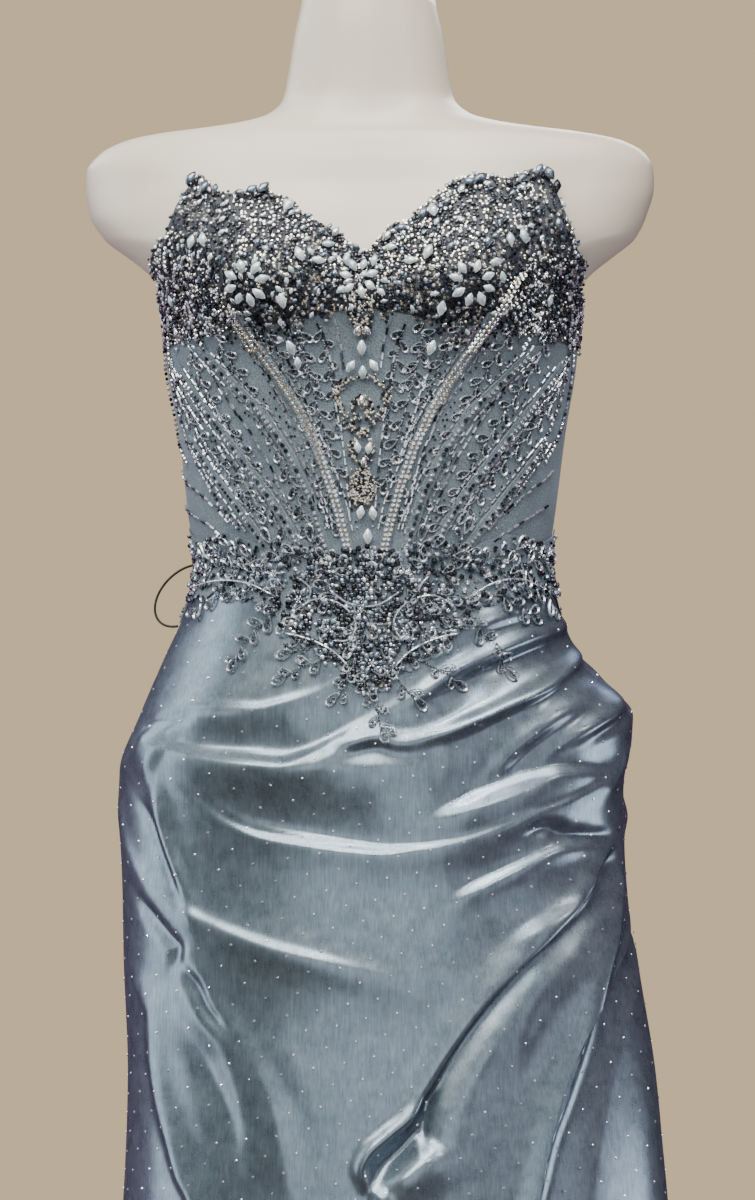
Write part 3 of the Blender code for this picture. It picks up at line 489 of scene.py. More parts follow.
def read_folds():
    """Every fold with its route worked out once."""
    folds = []
    for _, rise, above, below, start, end, route in FRONT_FOLDS:
        folds.append((rise, above, below, start, end, *fold_route(seen_at(route))))
    for _, rise, above, below, start, end, route in BACK_FOLDS:
        places = np.array([(math.radians(degrees), level * MM) for degrees, level in route])
        folds.append((rise, above, below, start, end, *fold_route(places)))
    return folds


def headings(path):
    """Unit directions along a path."""
    ahead = np.gradient(path, axis=0)
    return ahead / np.linalg.norm(ahead, axis=1)[:, None]


def ease(share):
    """A soft ramp from 0 to 1."""
    share = np.clip(share, 0, 1)
    return share * share * (3 - 2 * share)


def fold_lift(turn, height):
    """How far the drape stands out from the plain outline."""
    flat = np.stack([turn * girth_scale(height), height], axis=-1).reshape(-1, 2)
    total = np.zeros(len(flat))
    for rise, above, below, start, end, route, run in FOLDS:
        reach = FOLD_REACH * max(above, below, FOLD_FADE) * MM
        low = route.min(axis=0) - reach
        high = route.max(axis=0) + reach
        near = np.flatnonzero(((flat > low) & (flat < high)).all(axis=1))
        if not len(near):
            continue
        length = np.linalg.norm(np.diff(route, axis=0), axis=1).sum()
        heading = headings(route)
        gap = flat[near][:, None, :] - route
        nearest = np.argmin(np.sum(gap**2, axis=-1), axis=-1)
        offset = gap[np.arange(len(near)), nearest]
        along = heading[nearest]
        side = along[:, 0] * offset[:, 1] - along[:, 1] * offset[:, 0]
        past = along[:, 0] * offset[:, 0] + along[:, 1] * offset[:, 1]
        at = run[nearest] + past / length
        beyond = (np.maximum(at - 1, 0) + np.maximum(-at, 0)) * length
        strength = np.minimum(start + (1 - start) * ease(at / FOLD_GROWTH),
                              end + (1 - end) * ease((1 - at) / FOLD_GROWTH))
        total[near] += rise * MM * strength * spread_falloff(side, above * MM, below * MM) \
            * np.exp(-0.5 * (beyond / (FOLD_FADE * MM)) ** 2)
    return total.reshape(np.shape(turn))


def flute_lift(turn, height):
    """The soft cones of the hem."""
    lift = np.zeros(np.shape(turn))
    for degrees, rise, spread, top in FLUTES:
        away = (np.degrees(turn) - degrees + 180) % 360 - 180
        grown = np.clip(1 - height / (top * MM), 0, 1) ** 1.6
        lift += rise * MM * grown * np.exp(-0.5 * (away / spread) ** 2)
    return lift


def bust_lift(across, height):
    """The fullness of the two cups, as a push towards -Y."""
    rise = np.zeros(np.shape(height))
    for side in (-1, 1):
        away = across - 0.002 - side * BUST["across"]
        rise += np.exp(-0.5 * (away / BUST["across_spread"]) ** 2) \
            * spread_falloff(height - BUST["height"], BUST["up_spread"], BUST["down_spread"])
    return BUST["reach"] * rise


def puff_lift(turn, height):
    """The puff at the end of the hip pleats."""
    return HIP_PUFF["lift"] * spread_falloff(height - HIP_PUFF["height"], HIP_PUFF["up_spread"],
                                             HIP_PUFF["down_spread"]) \
        * np.exp(-0.5 * ((turn - HIP_PUFF["turn"]) / HIP_PUFF["turn_spread"]) ** 2)


def skin(turn, height, draped=True):
    """The outer surface of the gown, or of the plain figure when it isn't draped."""
    radius, centre = section_radius(turn, height)
    if draped and np.min(height) < WAIST_SEAM:
        waist_fade = np.clip((FOLDS_TOP - height) / FOLDS_FADE, 0, 1)
        radius = radius + waist_fade * (fold_lift(turn, height) + puff_lift(turn, height)) \
            + flute_lift(turn, height)
    x = centre + radius * np.sin(turn)
    y = -radius * np.cos(turn)
    front = np.clip(np.cos(turn) * 2.2, 0, 1)
    return np.stack([x, y - front * bust_lift(x, height), height + 0 * x], axis=-1)


def seat(turn, height, lift=0.0, draped=True):
    """Points at a distance outside the skin, with the skin's outward, sideways and upward directions."""
    turn, height = np.broadcast_arrays(np.asarray(turn, float), np.asarray(height, float))
    step = 0.001
    turn_step = step / MEAN_GIRTH
    east = skin(turn + turn_step, height, draped) - skin(turn - turn_step, height, draped)
    north = skin(turn, height + step, draped) - skin(turn, height - step, draped)
    out = np.cross(east, north)
    out /= np.linalg.norm(out, axis=-1)[..., None]
    east /= np.linalg.norm(east, axis=-1)[..., None]
    return skin(turn, height, draped) + out * np.asarray(lift)[..., None], out, east, np.cross(out, east)


def seen_at(route):
    """Turn and height of the points of the front that show at photo pixels."""
    route = np.asarray(route, dtype=float).reshape(-1, 2)
    turns = SEEN_TURNS
    scale = MM_PER_PIXEL * MM
    shift_x = (PHOTO_WIDTH / 2 - AXIS_PIXEL) * scale
    height = VIEW_HEIGHT + (PHOTO_HEIGHT / 2 - route[:, 1]) * scale
    for _ in range(4):
        points = skin(turns[None, :] + 0 * height[:, None], height[:, None] + 0 * turns, draped=False)
        x = points[..., 0] - shift_x
        y = points[..., 1]
        depth = CAMERA_DISTANCE - x * math.sin(CAMERA_AZIMUTH) + y * math.cos(CAMERA_AZIMUTH)
        shown = (x * math.cos(CAMERA_AZIMUTH) + y * math.sin(CAMERA_AZIMUTH)) * CAMERA_DISTANCE / depth
        shown = shown / scale + PHOTO_WIDTH / 2
        turn = np.array([np.interp(want, row[4:-4], turns[4:-4]) for want, row in zip(route[:, 0], shown)])
        near = np.array([np.interp(at, turns, row) for at, row in zip(turn, depth)])
        height = VIEW_HEIGHT + (PHOTO_HEIGHT / 2 - route[:, 1]) * scale * near / CAMERA_DISTANCE
    return np.column_stack([turn, height])


FOLDS = read_folds()


def linear(hex_colour):
    """An sRGB hex colour as linear RGBA."""
    parts = [int(hex_colour[i:i + 2], 16) / 255 for i in (1, 3, 5)]
    return (*[p / 12.92 if p <= 0.04045 else ((p + 0.055) / 1.055) ** 2.4 for p in parts], 1)


def add_node(tree, kind, settings=None, links=None):
    """A node with its settings and inputs; links go from input name to another node's output."""
    made = tree.nodes.new(kind)
    for key, value in (settings or {}).items():
        if key in made.inputs:
            made.inputs[key].default_value = value
        else:
            setattr(made, key, value)
    for key, source in (links or {}).items():
        tree.links.new(source, made.inputs[key])
    return made


def ramp(tree, source, stops):
    """A colour ramp over a factor; stops are (place, hex colour)."""
    made = add_node(tree, "ShaderNodeValToRGB", links={"Fac": source})
    elements = made.color_ramp.elements
    while len(elements) < len(stops):
        elements.new(0.5)
    for element, (place, colour) in zip(elements, stops):
        element.position = place
        element.color = linear(colour)
    return made.outputs["Color"]


def new_material(name, **settings):
    """A material with a Principled shader, the shader's constants set on its own sockets."""
    made = bpy.data.materials.new(name)
    made.use_nodes = True
    shader = made.node_tree.nodes["Principled BSDF"]
    for key, value in settings.items():
        shader.inputs[key.replace("_", " ")].default_value = value
    coordinates = add_node(made.node_tree, "ShaderNodeTexCoord").outputs["Object"]
    return made, made.node_tree, shader, coordinates


def bumped(tree, shader, height, strength, distance):
    """Bump from a height, strength 0 to 1 over a real distance in metres."""
    made = add_node(tree, "ShaderNodeBump", {"Strength": strength, "Distance": distance}, {"Height": height})
    tree.links.new(made.outputs["Normal"], shader.inputs["Normal"])


def noise(tree, place, scale, detail, **settings):
    """The factor of a noise texture."""
    return add_node(tree, "ShaderNodeTexNoise", {"Scale": scale, "Detail": detail, **settings},
                    {"Vector": place}).outputs["Fac"]


def mapped(tree, place, **settings):
    """Places stretched or turned."""
    return add_node(tree, "ShaderNodeMapping", settings, {"Vector": place}).outputs["Vector"]


def ranged(tree, source, from_low=0.0, from_high=1.0, to_low=0.0, to_high=1.0):
    """A value moved from one range to another and held at its ends."""
    settings = {"From Min": from_low, "From Max": from_high, "To Min": to_low, "To Max": to_high}
    return add_node(tree, "ShaderNodeMapRange", settings, {"Value": source}).outputs["Result"]


def combined(tree, operation, first, second):
    """Two values put together by an operation."""
    return add_node(tree, "ShaderNodeMath", {"operation": operation}, {0: first, 1: second}).outputs[0]


def multiplied(tree, first, second):
    """Two colours multiplied."""
    made = add_node(tree, "ShaderNodeMix", {"data_type": "RGBA", "blend_type": "MULTIPLY"},
                    {MIX_FIRST: first, MIX_SECOND: second})
    made.inputs[MIX_FACTOR].default_value = 1.0
    return made.outputs[MIX_COLOUR]


def satin_material():
    """Two-tone stretch satin: slate-blue floats that shine, over an aubergine ground seen in the folds."""
    made, tree, shader, place = new_material(
        "stretch_satin_slate", Metallic=0.80, Roughness=0.32, Specular_Tint=linear("#4E2C60"),
        Sheen_Weight=0.10, Sheen_Roughness=0.35, Sheen_Tint=linear("#7A5C8C"))
    cloud = noise(tree, place, 95.0, 4.0, Roughness=0.6)
    colour = ramp(tree, cloud, [(0.28, "#7C8D98"), (0.52, "#8A9BA6"), (0.74, "#98A9B2")])
    # Upright thread lines, drawn 1.2 mm apart so that they show.
    threads = noise(tree, mapped(tree, place, Scale=(850.0, 850.0, 60.0)), 1.0, 2.0)
    grain = ramp(tree, threads, [(0.32, "#DEDEDE"), (0.68, "#FFFFFF")])
    tree.links.new(multiplied(tree, colour, grain), shader.inputs["Base Color"])
    tree.links.new(ranged(tree, cloud, to_low=0.24, to_high=0.32), shader.inputs["Roughness"])
    return made


def mesh_material(name, thread, mid, hole):
    """Power mesh over a matte lining: fine diagonal net, drawn at 2 mm so that it shows."""
    made, tree, shader, place = new_material(name, Roughness=0.62, Sheen_Weight=0.25,
                                             Sheen_Tint=linear("#B4C0CC"))
    turned = mapped(tree, place, Rotation=(0.0, math.radians(45), 0.0))
    net = add_node(tree, "ShaderNodeTexVoronoi", {"Scale": 520.0, "feature": "DISTANCE_TO_EDGE"},
                   {"Vector": turned}).outputs["Distance"]
    threads = ramp(tree, net, [(0.0, thread), (0.10, mid), (0.22, hole)])
    shade = ramp(tree, noise(tree, place, 24.0, 3.0), [(0.3, "#D2D6D8"), (0.7, "#FFFFFF")])
    tree.links.new(multiplied(tree, threads, shade), shader.inputs["Base Color"])
    bumped(tree, shader, net, 0.25, 0.0003)
    return made


def bead_material(name, dark, light, metallic, roughness, coat=0.0, scale=260.0):
    """Glass beads and stones, each a little lighter or darker than the next."""
    made, tree, shader, place = new_material(name, Metallic=metallic, Roughness=roughness, Coat_Weight=coat,
                                             Coat_Roughness=0.06)
    colour = ramp(tree, noise(tree, place, scale, 1.0), [(0.34, dark), (0.66, light)])
    tree.links.new(colour, shader.inputs["Base Color"])
    return made


def form_material():
    """Moulded polystyrene form, satin gloss, faintly warm and clouded."""
    made, tree, shader, place = new_material("moulded_polystyrene", Roughness=0.34, IOR=1.59,
                                             Subsurface_Weight=0.08, Subsurface_Scale=0.01)
    colour = ramp(tree, noise(tree, place, 7.0, 3.0), [(0.3, "#D0C8B4"), (0.7, "#DCD5C3")])
    tree.links.new(colour, shader.inputs["Base Color"])
    bumped(tree, shader, noise(tree, place, 900.0, 1.0), 0.05, 0.0002)
    return made


def steel_material():
    """Brushed steel of the pole and base: fine lines round the metal."""
    made, tree, shader, place = new_material("brushed_steel", Metallic=1.0, Roughness=0.3)
    lines = noise(tree, mapped(tree, place, Scale=(6.0, 6.0, 700.0)), 1.0, 2.0)
    colour = ramp(tree, lines, [(0.3, "#A9AAAC"), (0.7, "#C9CACB")])
    tree.links.new(colour, shader.inputs["Base Color"])
    bumped(tree, shader, lines, 0.1, 0.0001)
    return made


def plain_material(name, colour, roughness):
    """A matte cord or studio surface with a slight change of tone."""
    made, tree, shader, place = new_material(name, Roughness=roughness)
    tone = ranged(tree, noise(tree, place, 3.0, 2.0), to_low=0.94, to_high=1.04)
    bright = add_node(tree, "ShaderNodeHueSaturation", {"Color": linear(colour)}, {"Value": tone})
    tree.links.new(bright.outputs["Color"], shader.inputs["Base Color"])
    return made


FINISHES = {
    "satin": satin_material(),
    "net": mesh_material("power_mesh_slate", "#7E8E98", "#6A7882", "#5B6872"),
    # Under the cup beads the net is darkened: painted shade between the beads.
    "net with painted shade": mesh_material("power_mesh_painted_shade", "#4A515C", "#3B414B", "#30353E"),
    "gunmetal": bead_material("gunmetal_glass_beads", "#0F1014", "#454A54", 0.75, 0.17, 0.6),
    "silver": bead_material("silver_lined_beads", "#B4BBC1", "#F6F8F9", 0.75, 0.15, 0.6),
    "slate": bead_material("slate_lustre_beads", "#4C5865", "#93A4B2", 0.6, 0.18, 0.6),
    "champagne": bead_material("champagne_crystals", "#CFC6B2", "#FCF7EA", 0.85, 0.16, 0.6),
    "opal": bead_material("opal_stones", "#B4C9D0", "#EDF5F6", 0.3, 0.10, 0.9, 90.0),
    "clear": bead_material("clear_rhinestones", "#D2DAE0", "#FDFEFE", 0.82, 0.10, 0.8),
    "cord": bead_material("silver_bullion_cord", "#A4ADB6", "#E6EBEF", 0.75, 0.26),
    "form": form_material(),
    "steel": steel_material(),
    "loop": plain_material("dark_cord", "#1B1414", 0.55),
    "studio": plain_material("studio_floor", "#D9D2C6", 0.8),
}


def build_mesh(name, points, faces, finish, angle=None):
    """A mesh object from arrays of points and of equal-sided faces, riding on the part."""
    faces = np.asarray(faces, dtype=np.int32)
    mesh = bpy.data.meshes.new(name)
    mesh.vertices.add(len(points))
    mesh.vertices.foreach_set("co", np.asarray(points, dtype=np.float32).ravel())
    mesh.loops.add(faces.size)
    mesh.loops.foreach_set("vertex_index", faces.ravel())
    mesh.polygons.add(len(faces))
    mesh.polygons.foreach_set("loop_start", np.arange(0, faces.size, faces.shape[1], dtype=np.int32))
    mesh.update(calc_edges=True)
    mesh.materials.append(FINISHES[finish])
    mesh.shade_smooth()
    if angle is not None:
        mesh.set_sharp_from_angle(angle=math.radians(angle))
    made = bpy.data.objects.new(name, mesh)
    bpy.context.scene.collection.objects.link(made)
    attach(made, "root")
    return made


def join_pieces(name, pieces, finish, angle):
    """Pairs of points and faces, joined as one mesh."""
    points = []
    faces = []
    count = 0
    for corners, sides in pieces:
        points.append(corners)
        faces.append(sides + count)
        count += len(corners)
    return build_mesh(name, np.concatenate(points), np.concatenate(faces), finish, angle)


def grid_quads(first, rows, columns, closed=False):
    """Quads over a grid of points, facing outwards; closed joins the last column to the first."""
    wide = columns if closed else columns - 1
    row, column = np.meshgrid(np.arange(rows - 1), np.arange(wide), indexing="ij")
    a = first + row * columns + column
    b = first + row * columns + (column + 1) % columns
    return np.stack([a, b, b + columns, a + columns], axis=-1).reshape(-1, 4)


def grid_rim(first, rows, columns):
    """Points round the edge of a grid, in order."""
    return first + np.concatenate([np.arange(columns), np.arange(1, rows) * columns + columns - 1,
                                   (rows - 1) * columns + np.arange(columns - 2, -1, -1),
                                   np.arange(rows - 2, 0, -1) * columns])


def cloth_wall(name, finish, turn, height, lift=0.0, thickness=CLOTH):
    """A thin cloth shell over a grid of turns and heights; its inner face has half the rows and columns."""
    rows, columns = turn.shape
    outer, out, _, _ = seat(turn, height, np.broadcast_to(lift, turn.shape))
    inner = (outer - out * thickness)[::2, ::2]
    inside = rows * columns
    outer_rim = grid_rim(0, rows, columns)
    inner_rim = grid_rim(inside, inner.shape[0], inner.shape[1])
    a, middle, b = outer_rim[0::2], outer_rim[1::2], np.roll(outer_rim[0::2], -1)
    inner_b = np.roll(inner_rim, -1)
    front = grid_quads(0, rows, columns)
    back = grid_quads(inside, inner.shape[0], inner.shape[1])[:, ::-1]
    faces = np.concatenate([front[:, [0, 1, 2]], front[:, [0, 2, 3]], back[:, [0, 1, 2]], back[:, [0, 2, 3]],
                            np.column_stack([a, inner_rim, middle]),
                            np.column_stack([inner_rim, inner_b, middle]),
                            np.column_stack([middle, inner_b, b])])
    return build_mesh(name, np.concatenate([outer.reshape(-1, 3), inner.reshape(-1, 3)]), faces, finish, 50)


def panel_grid(left, right, bottom, top, columns, up):
    """Turns and heights between two side lines (turn from height) and two edges (height from turn)."""
    across = np.linspace(0, 1, columns + 1)[None, :]
    up = (np.linspace(0, 1, up + 1) if np.ndim(up) == 0 else np.asarray(up))[:, None]
    turn = np.zeros((len(up), columns + 1))
    height = bottom(turn) + (top(turn) - bottom(turn)) * up
    for _ in range(12):
        turn = left(height) + (right(height) - left(height)) * across
        height = bottom(turn) + (top(turn) - bottom(turn)) * up
    return turn, height


def flat_size(turn, height):
    """The greatest width and length of a close-fitting panel, along its surface."""
    places = skin(turn, height, False)
    width = np.linalg.norm(np.diff(places, axis=1), axis=2).sum(axis=1).max()
    length = np.linalg.norm(np.diff(places, axis=0), axis=2).sum(axis=0).max()
    return round(float(width), 3), round(float(length), 3)


def level(value):
    """An edge at one height."""
    return lambda turn: value + 0 * turn


def upright(value):
    """A side line at one turn."""
    return lambda height: value + 0 * height


def outline_edge(points):
    """An edge as turns and heights from points measured across the front."""
    table = np.array(points, dtype=float) * MM
    return turn_at(table[:, 0], table[:, 1]), table[:, 1]


LEFT_EDGE = outline_edge(NECKLINE_LEFT[::-1])
RIGHT_EDGE = outline_edge(NECKLINE_RIGHT[1:])


def neckline(turn):
    """Height of the top edge at a turn, all round."""
    slope = BACK_TOP + BACK_SLOPE_RISE
    turns = np.concatenate([[-math.pi, -BACK_SLOPE_TURN, -SIDE_SEAM], LEFT_EDGE[0], RIGHT_EDGE[0],
                            [SIDE_SEAM, BACK_SLOPE_TURN, math.pi]])
    heights = np.concatenate([[BACK_TOP, slope, UNDERARM_HEIGHT], LEFT_EDGE[1], RIGHT_EDGE[1],
                              [UNDERARM_HEIGHT, slope, BACK_TOP]])
    return np.interp(turn, turns, heights)


def cup_seam(turn):
    """Height of the seam under the cups."""
    return smooth_columns(CUP_SEAM, np.abs(np.degrees(turn)))[..., 0] * MM


def seam_line(name, side):
    """A bodice seam as turn over height."""
    table = SEAM_LINES[name]
    levels = np.linspace(1.03, 1.26, 47)
    turns = turn_at(0.003 + side * np.interp(levels / MM, table[:, 0], table[:, 1]) * MM, levels)
    return lambda height: np.interp(height, levels, turns)


SEAMS = {(name, side): seam_line(name, side) for name in SEAM_LINES for side in (-1, 1)}


def make_form_and_stand():
    """The torso form as one smooth shell, and finishes for the pole and base."""
    levels = np.concatenate([np.linspace(FORM_BOTTOM, 1.24, 46), np.linspace(1.245, 1.36, 40),
                             np.linspace(1.362, 1.40, 24), np.linspace(1.405, FORM_TOP, 14)])
    columns = 120
    turn, height = np.meshgrid(np.linspace(0, 2 * math.pi, columns, endpoint=False), levels)
    turn = (turn + math.pi) % (2 * math.pi) - math.pi
    inset = FORM_INSET + np.interp(height, (0.8, 0.98, 1.03, 1.24, 1.27, 1.33, 1.36),
                                   (0.010, 0.005, 0, 0, 0.003, 0.003, 0))
    points, _, _, _ = seat(turn, height, -inset, draped=False)
    points[0, :, 2] = FORM_BOTTOM
    points[-1, :, 2] = FORM_TOP
    rings = [points]
    for ring, shrink in ((0, 0.985), (0, 0.002), (-1, 0.985), (-1, 0.002)):
        middle = points[ring].mean(axis=0)
        rings.append((middle + (points[ring] - middle) * shrink)[None])
    stacked = np.concatenate([rings[2], rings[1], points, rings[3], rings[4]])
    rows = len(stacked)
    faces = grid_quads(0, rows, columns, closed=True)
    made = build_mesh("torso_form", stacked.reshape(-1, 3), faces, "form", 40)
    closed = bmesh.new()
    closed.from_mesh(made.data)
    closed.verts.ensure_lookup_table()
    bmesh.ops.remove_doubles(closed, verts=closed.verts, dist=0.0012)
    closed.to_mesh(made.data)
    closed.free()
    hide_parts("form_torso")
    for name in ("stand_pole", "stand_base"):
        frame["nodes"][name].data.materials.clear()
        frame["nodes"][name].data.materials.append(FINISHES["steel"])


def make_bodice():
    """The corset panels, the backs and the net under the cup beads."""
    bottom = level(WAIST_SEAM)
    spans = {
        # left seam, right seam, columns, cut area
        "bodice_front_center": (SEAMS["princess", -1], SEAMS["princess", 1], 44, 0.0145),
        "bodice_side_front_left": (SEAMS["side_front", -1], SEAMS["princess", -1], 18, 0.0104),
        "bodice_side_front_right": (SEAMS["princess", 1], SEAMS["side_front", 1], 18, 0.0104),
        "bodice_side_left": (upright(-SIDE_SEAM), SEAMS["side_front", -1], 30, 0.0191),
        "bodice_side_right": (SEAMS["side_front", 1], upright(SIDE_SEAM), 30, 0.0191),
        "bodice_back_left": (upright(-math.pi), upright(-SIDE_SEAM), 44, 0.0321),
        "bodice_back_right": (upright(SIDE_SEAM), upright(math.pi), 44, 0.0321),
    }
    for name, (left, right, columns, area) in spans.items():
        top = neckline if "back" in name else cup_seam
        turn, height = panel_grid(left, right, bottom, top, columns, 50)
        made = cloth_wall(f"{name}_mesh", "net", turn, height)
        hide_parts(name)
        flat_size(turn, height)
    cups = {
        "cup_left": (upright(-SIDE_SEAM), upright(0)),
        "cup_right": (upright(0), upright(SIDE_SEAM)),
    }
    for name, (left, right) in cups.items():
        turn, height = panel_grid(left, right, cup_seam, neckline, 90, 24)
        # The cup net is drawn dark as painted shade between the beads.
        made = cloth_wall(f"{name}_net", "net with painted shade", turn, height)
        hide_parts(name)
        flat_size(turn, height)


def make_skirt():
    """The satin overlay, the panel under its free edge and the backs."""
    top = level(WAIST_SEAM)
    hem = level(HEM_HEIGHT)

    def overlay_edge(height):
        return np.radians(smooth_columns(OVERLAY_EDGE, height / MM)[..., 0])

    fine = np.concatenate([np.linspace(0, 0.555, 33)[:-1], np.linspace(0.555, 1.0, 269)])
    turn, height = panel_grid(upright(-SIDE_SEAM), overlay_edge, hem, top, 230, fine)
    drape = cloth_wall("satin_drape", "satin", turn, height)
    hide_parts("skirt_drape")

    def under_left(height):
        return np.minimum(overlay_edge(height), overlay_edge(np.minimum(height, 0.775))) - UNDER_LAP

    turn, height = panel_grid(under_left, upright(SIDE_SEAM), hem, level(UNDER_TOP), 70, 120)
    past_edge = (turn - overlay_edge(height)) * section_radius(turn, height)[0]
    sunk = 1 - np.clip((past_edge - 0.008) / 0.035, 0, 1)
    under = cloth_wall("satin_under_panel", "satin", turn, height, -UNDER_SINK * sunk)
    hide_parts("skirt_under")

    rows = np.concatenate([np.linspace(0, 0.5, 31)[:-1], np.linspace(0.5, 1.0, 121)])
    for name, (left, right) in {"skirt_back_left": (-math.pi, -SIDE_SEAM),
                                "skirt_back_right": (SIDE_SEAM, math.pi)}.items():
        turn, height = panel_grid(upright(left), upright(right), hem, top, 110, rows)
        made = cloth_wall(f"satin_{name[6:]}", "satin", turn, height)
        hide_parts(name)


def prototype(kind):
    """Points and triangles of one small bead, 1 unit wide, lying on Z = 0."""
    if kind == "round":
        bpy.ops.mesh.primitive_uv_sphere_add(segments=7, ring_count=4, radius=0.5)
    elif kind == "chaton":
        bpy.ops.mesh.primitive_cone_add(vertices=8, radius1=0.5, radius2=0.28, depth=0.28,
                                        end_fill_type="TRIFAN")
    elif kind == "navette":
        bpy.ops.mesh.primitive_uv_sphere_add(segments=8, ring_count=6, radius=0.5)
    elif kind == "bugle":
        bpy.ops.mesh.primitive_cylinder_add(vertices=6, radius=0.19, depth=1.0, end_fill_type="TRIFAN")
    elif kind == "leaf":
        bpy.ops.mesh.primitive_torus_add(major_segments=14, minor_segments=4, major_radius=0.5,
                                         minor_radius=0.10)
    made = bpy.context.object
    mesh = bmesh.new()
    mesh.from_mesh(made.data)
    bmesh.ops.triangulate(mesh, faces=mesh.faces)
    points = np.array([v.co[:] for v in mesh.verts])
    # Blender gives the triangles in another order each run, so they are put in order here.
    faces = []
    for face in mesh.faces:
        corners = [v.index for v in face.verts]
        first = corners.index(min(corners))
        faces.append(corners[first:] + corners[:first])
    faces = np.array(sorted(faces))
    mesh.free()
    bpy.data.objects.remove(made, do_unlink=True)
    if kind == "round":
        points[:, 2] = points[:, 2] * 0.85 + 0.30
    if kind == "chaton":
        points[:, 2] += 0.14
    if kind == "navette":
        taper = 1 - 0.55 * np.abs(points[:, 0] * 2) ** 1.6
        points[:, 1] *= 0.62 * taper
        points[:, 2] = points[:, 2] * 0.42 * taper + 0.16
    if kind == "bugle":
        points = points[:, [2, 1, 0]] * np.array((1, 1, -1)) + np.array((0, 0, 0.15))
    if kind == "leaf":
        along = 0.5 - points[:, 0]
        points[:, 1] *= 0.62 * (1 - 0.62 * np.clip(along, 0, 1) ** 1.5)
        points[:, 2] += 0.09
    return points, faces


BEADS = {kind: prototype(kind) for kind in ("round", "chaton", "navette", "bugle", "leaf")}


def seat_beads(kind, turn, height, lift, size, spin):
    """Points and faces of copies of a bead, seated on the skin and turned by spin in its plane."""
    points, faces = BEADS[kind]
    place, out, east, north = seat(turn, height, lift)
    ahead = east * np.cos(spin)[:, None] + north * np.sin(spin)[:, None]
    frames = np.stack([ahead, np.cross(out, ahead), out], axis=-1)
    made = place[:, None, :] + np.einsum("nij,nmj->nmi", frames, points[None] * size[:, None, None])
    joined = faces[None] + (np.arange(len(place)) * len(points))[:, None, None]
    return made.reshape(-1, 3), joined.reshape(-1, 3)


def moved(turn, height, across, up):
    """A place on the surface moved sideways and upwards by distances in metres."""
    step = 0.004
    wide = skin(turn + step, height, False) - skin(turn - step, height, False)
    tall = skin(turn, height + step, False) - skin(turn, height - step, False)
    wide = np.linalg.norm(wide, axis=-1) / (2 * step)
    tall = np.linalg.norm(tall, axis=-1) / (2 * step)
    return turn + across / wide, height + up / tall


def smooth_route(places, per_part=12):
    """A smooth curve through places."""
    places = np.asarray(places, dtype=float)
    ends = np.vstack([2 * places[0] - places[1], places, 2 * places[-1] - places[-2]])
    made = []
    for a, b, c, d in zip(ends, ends[1:], ends[2:], ends[3:]):
        t = np.linspace(0, 1, per_part, endpoint=False)[:, None]
        made.append(0.5 * (2 * b + (c - a) * t + (2 * a - 5 * b + 4 * c - d) * t**2
                           + (3 * b - a - 3 * c + d) * t**3))
    return np.vstack([*made, places[-1:]])


def trail(places, spacing):
    """Turn, height and heading at even steps along a smooth route over the surface."""
    fine = smooth_route(places)
    points, _, east, north = seat(fine[:, 0], fine[:, 1], 0.0, False)
    run = np.concatenate([[0], np.cumsum(np.linalg.norm(np.diff(points, axis=0), axis=1))])
    ahead = np.gradient(points, axis=0)
    heading = np.unwrap(np.arctan2((ahead * north).sum(axis=1), (ahead * east).sum(axis=1)))
    at = np.arange(spacing / 2, max(run[-1], spacing), spacing)
    return np.interp(at, run, fine[:, 0]), np.interp(at, run, fine[:, 1]), np.interp(at, run, heading)


TRAY = {}


def lay(area, finish, kind, turn, height, lift, size, spin):
    """Puts beads in the tray of an area and finish, to be sewn together later."""
    turn, height, lift, size, spin = np.broadcast_arrays(
        np.atleast_1d(turn), height, lift, size, spin)
    TRAY.setdefault((area, finish), []).append((kind, turn, height, lift, size, spin))


def sew_tray():
    """One mesh for each area and finish."""
    sewn = {}
    for (area, finish), batches in TRAY.items():
        name = f"{area}_{finish}_beads" if finish != "cord" else f"{area}_bullion_loops"
        made = join_pieces(name, [seat_beads(*batch) for batch in batches], finish, BEAD_SHARP_DEGREES)
        sewn.setdefault(area, []).append(made)
    return sewn


def bead_row(area, finish, kind, places, spacing, size, lift=0.0, jitter=0.0):
    """Beads in a row along a route; of several finishes each bead takes one."""
    turn, height, heading = trail(places, spacing)
    turn, height = moved(turn, height, rng.normal(0, jitter, len(turn)), rng.normal(0, jitter, len(turn)))
    sizes = size * rng.uniform(0.9, 1.08, len(turn))
    chosen = rng.choice(finish.split(), len(turn))
    for one in sorted(set(chosen)):
        here = chosen == one
        lay(area, one, kind, turn[here], height[here], lift, sizes[here], heading[here])


def leaf_loop(area, turn, height, direction, length, lift):
    """A loop of bullion cord that starts at a stem, with dark beads in it."""
    centre = moved(turn, height, 0.5 * length * math.cos(direction), 0.5 * length * math.sin(direction))
    lay(area, "cord", "leaf", *centre, lift, length, direction)
    for share, size in ((0.42, 0.0016), (0.68, 0.0020)):
        bead = moved(turn, height, share * length * math.cos(direction),
                     share * length * math.sin(direction))
        lay(area, rng.choice(["gunmetal", "slate", "gunmetal"]), "round", *bead, lift, size, 0)
    if rng.random() < 0.6:
        beside = direction + 0.25
        bead = moved(turn, height, 0.6 * length * math.cos(beside), 0.6 * length * math.sin(beside))
        lay(area, "silver", "round", *bead, lift + 0.0004, 0.0014, 0)


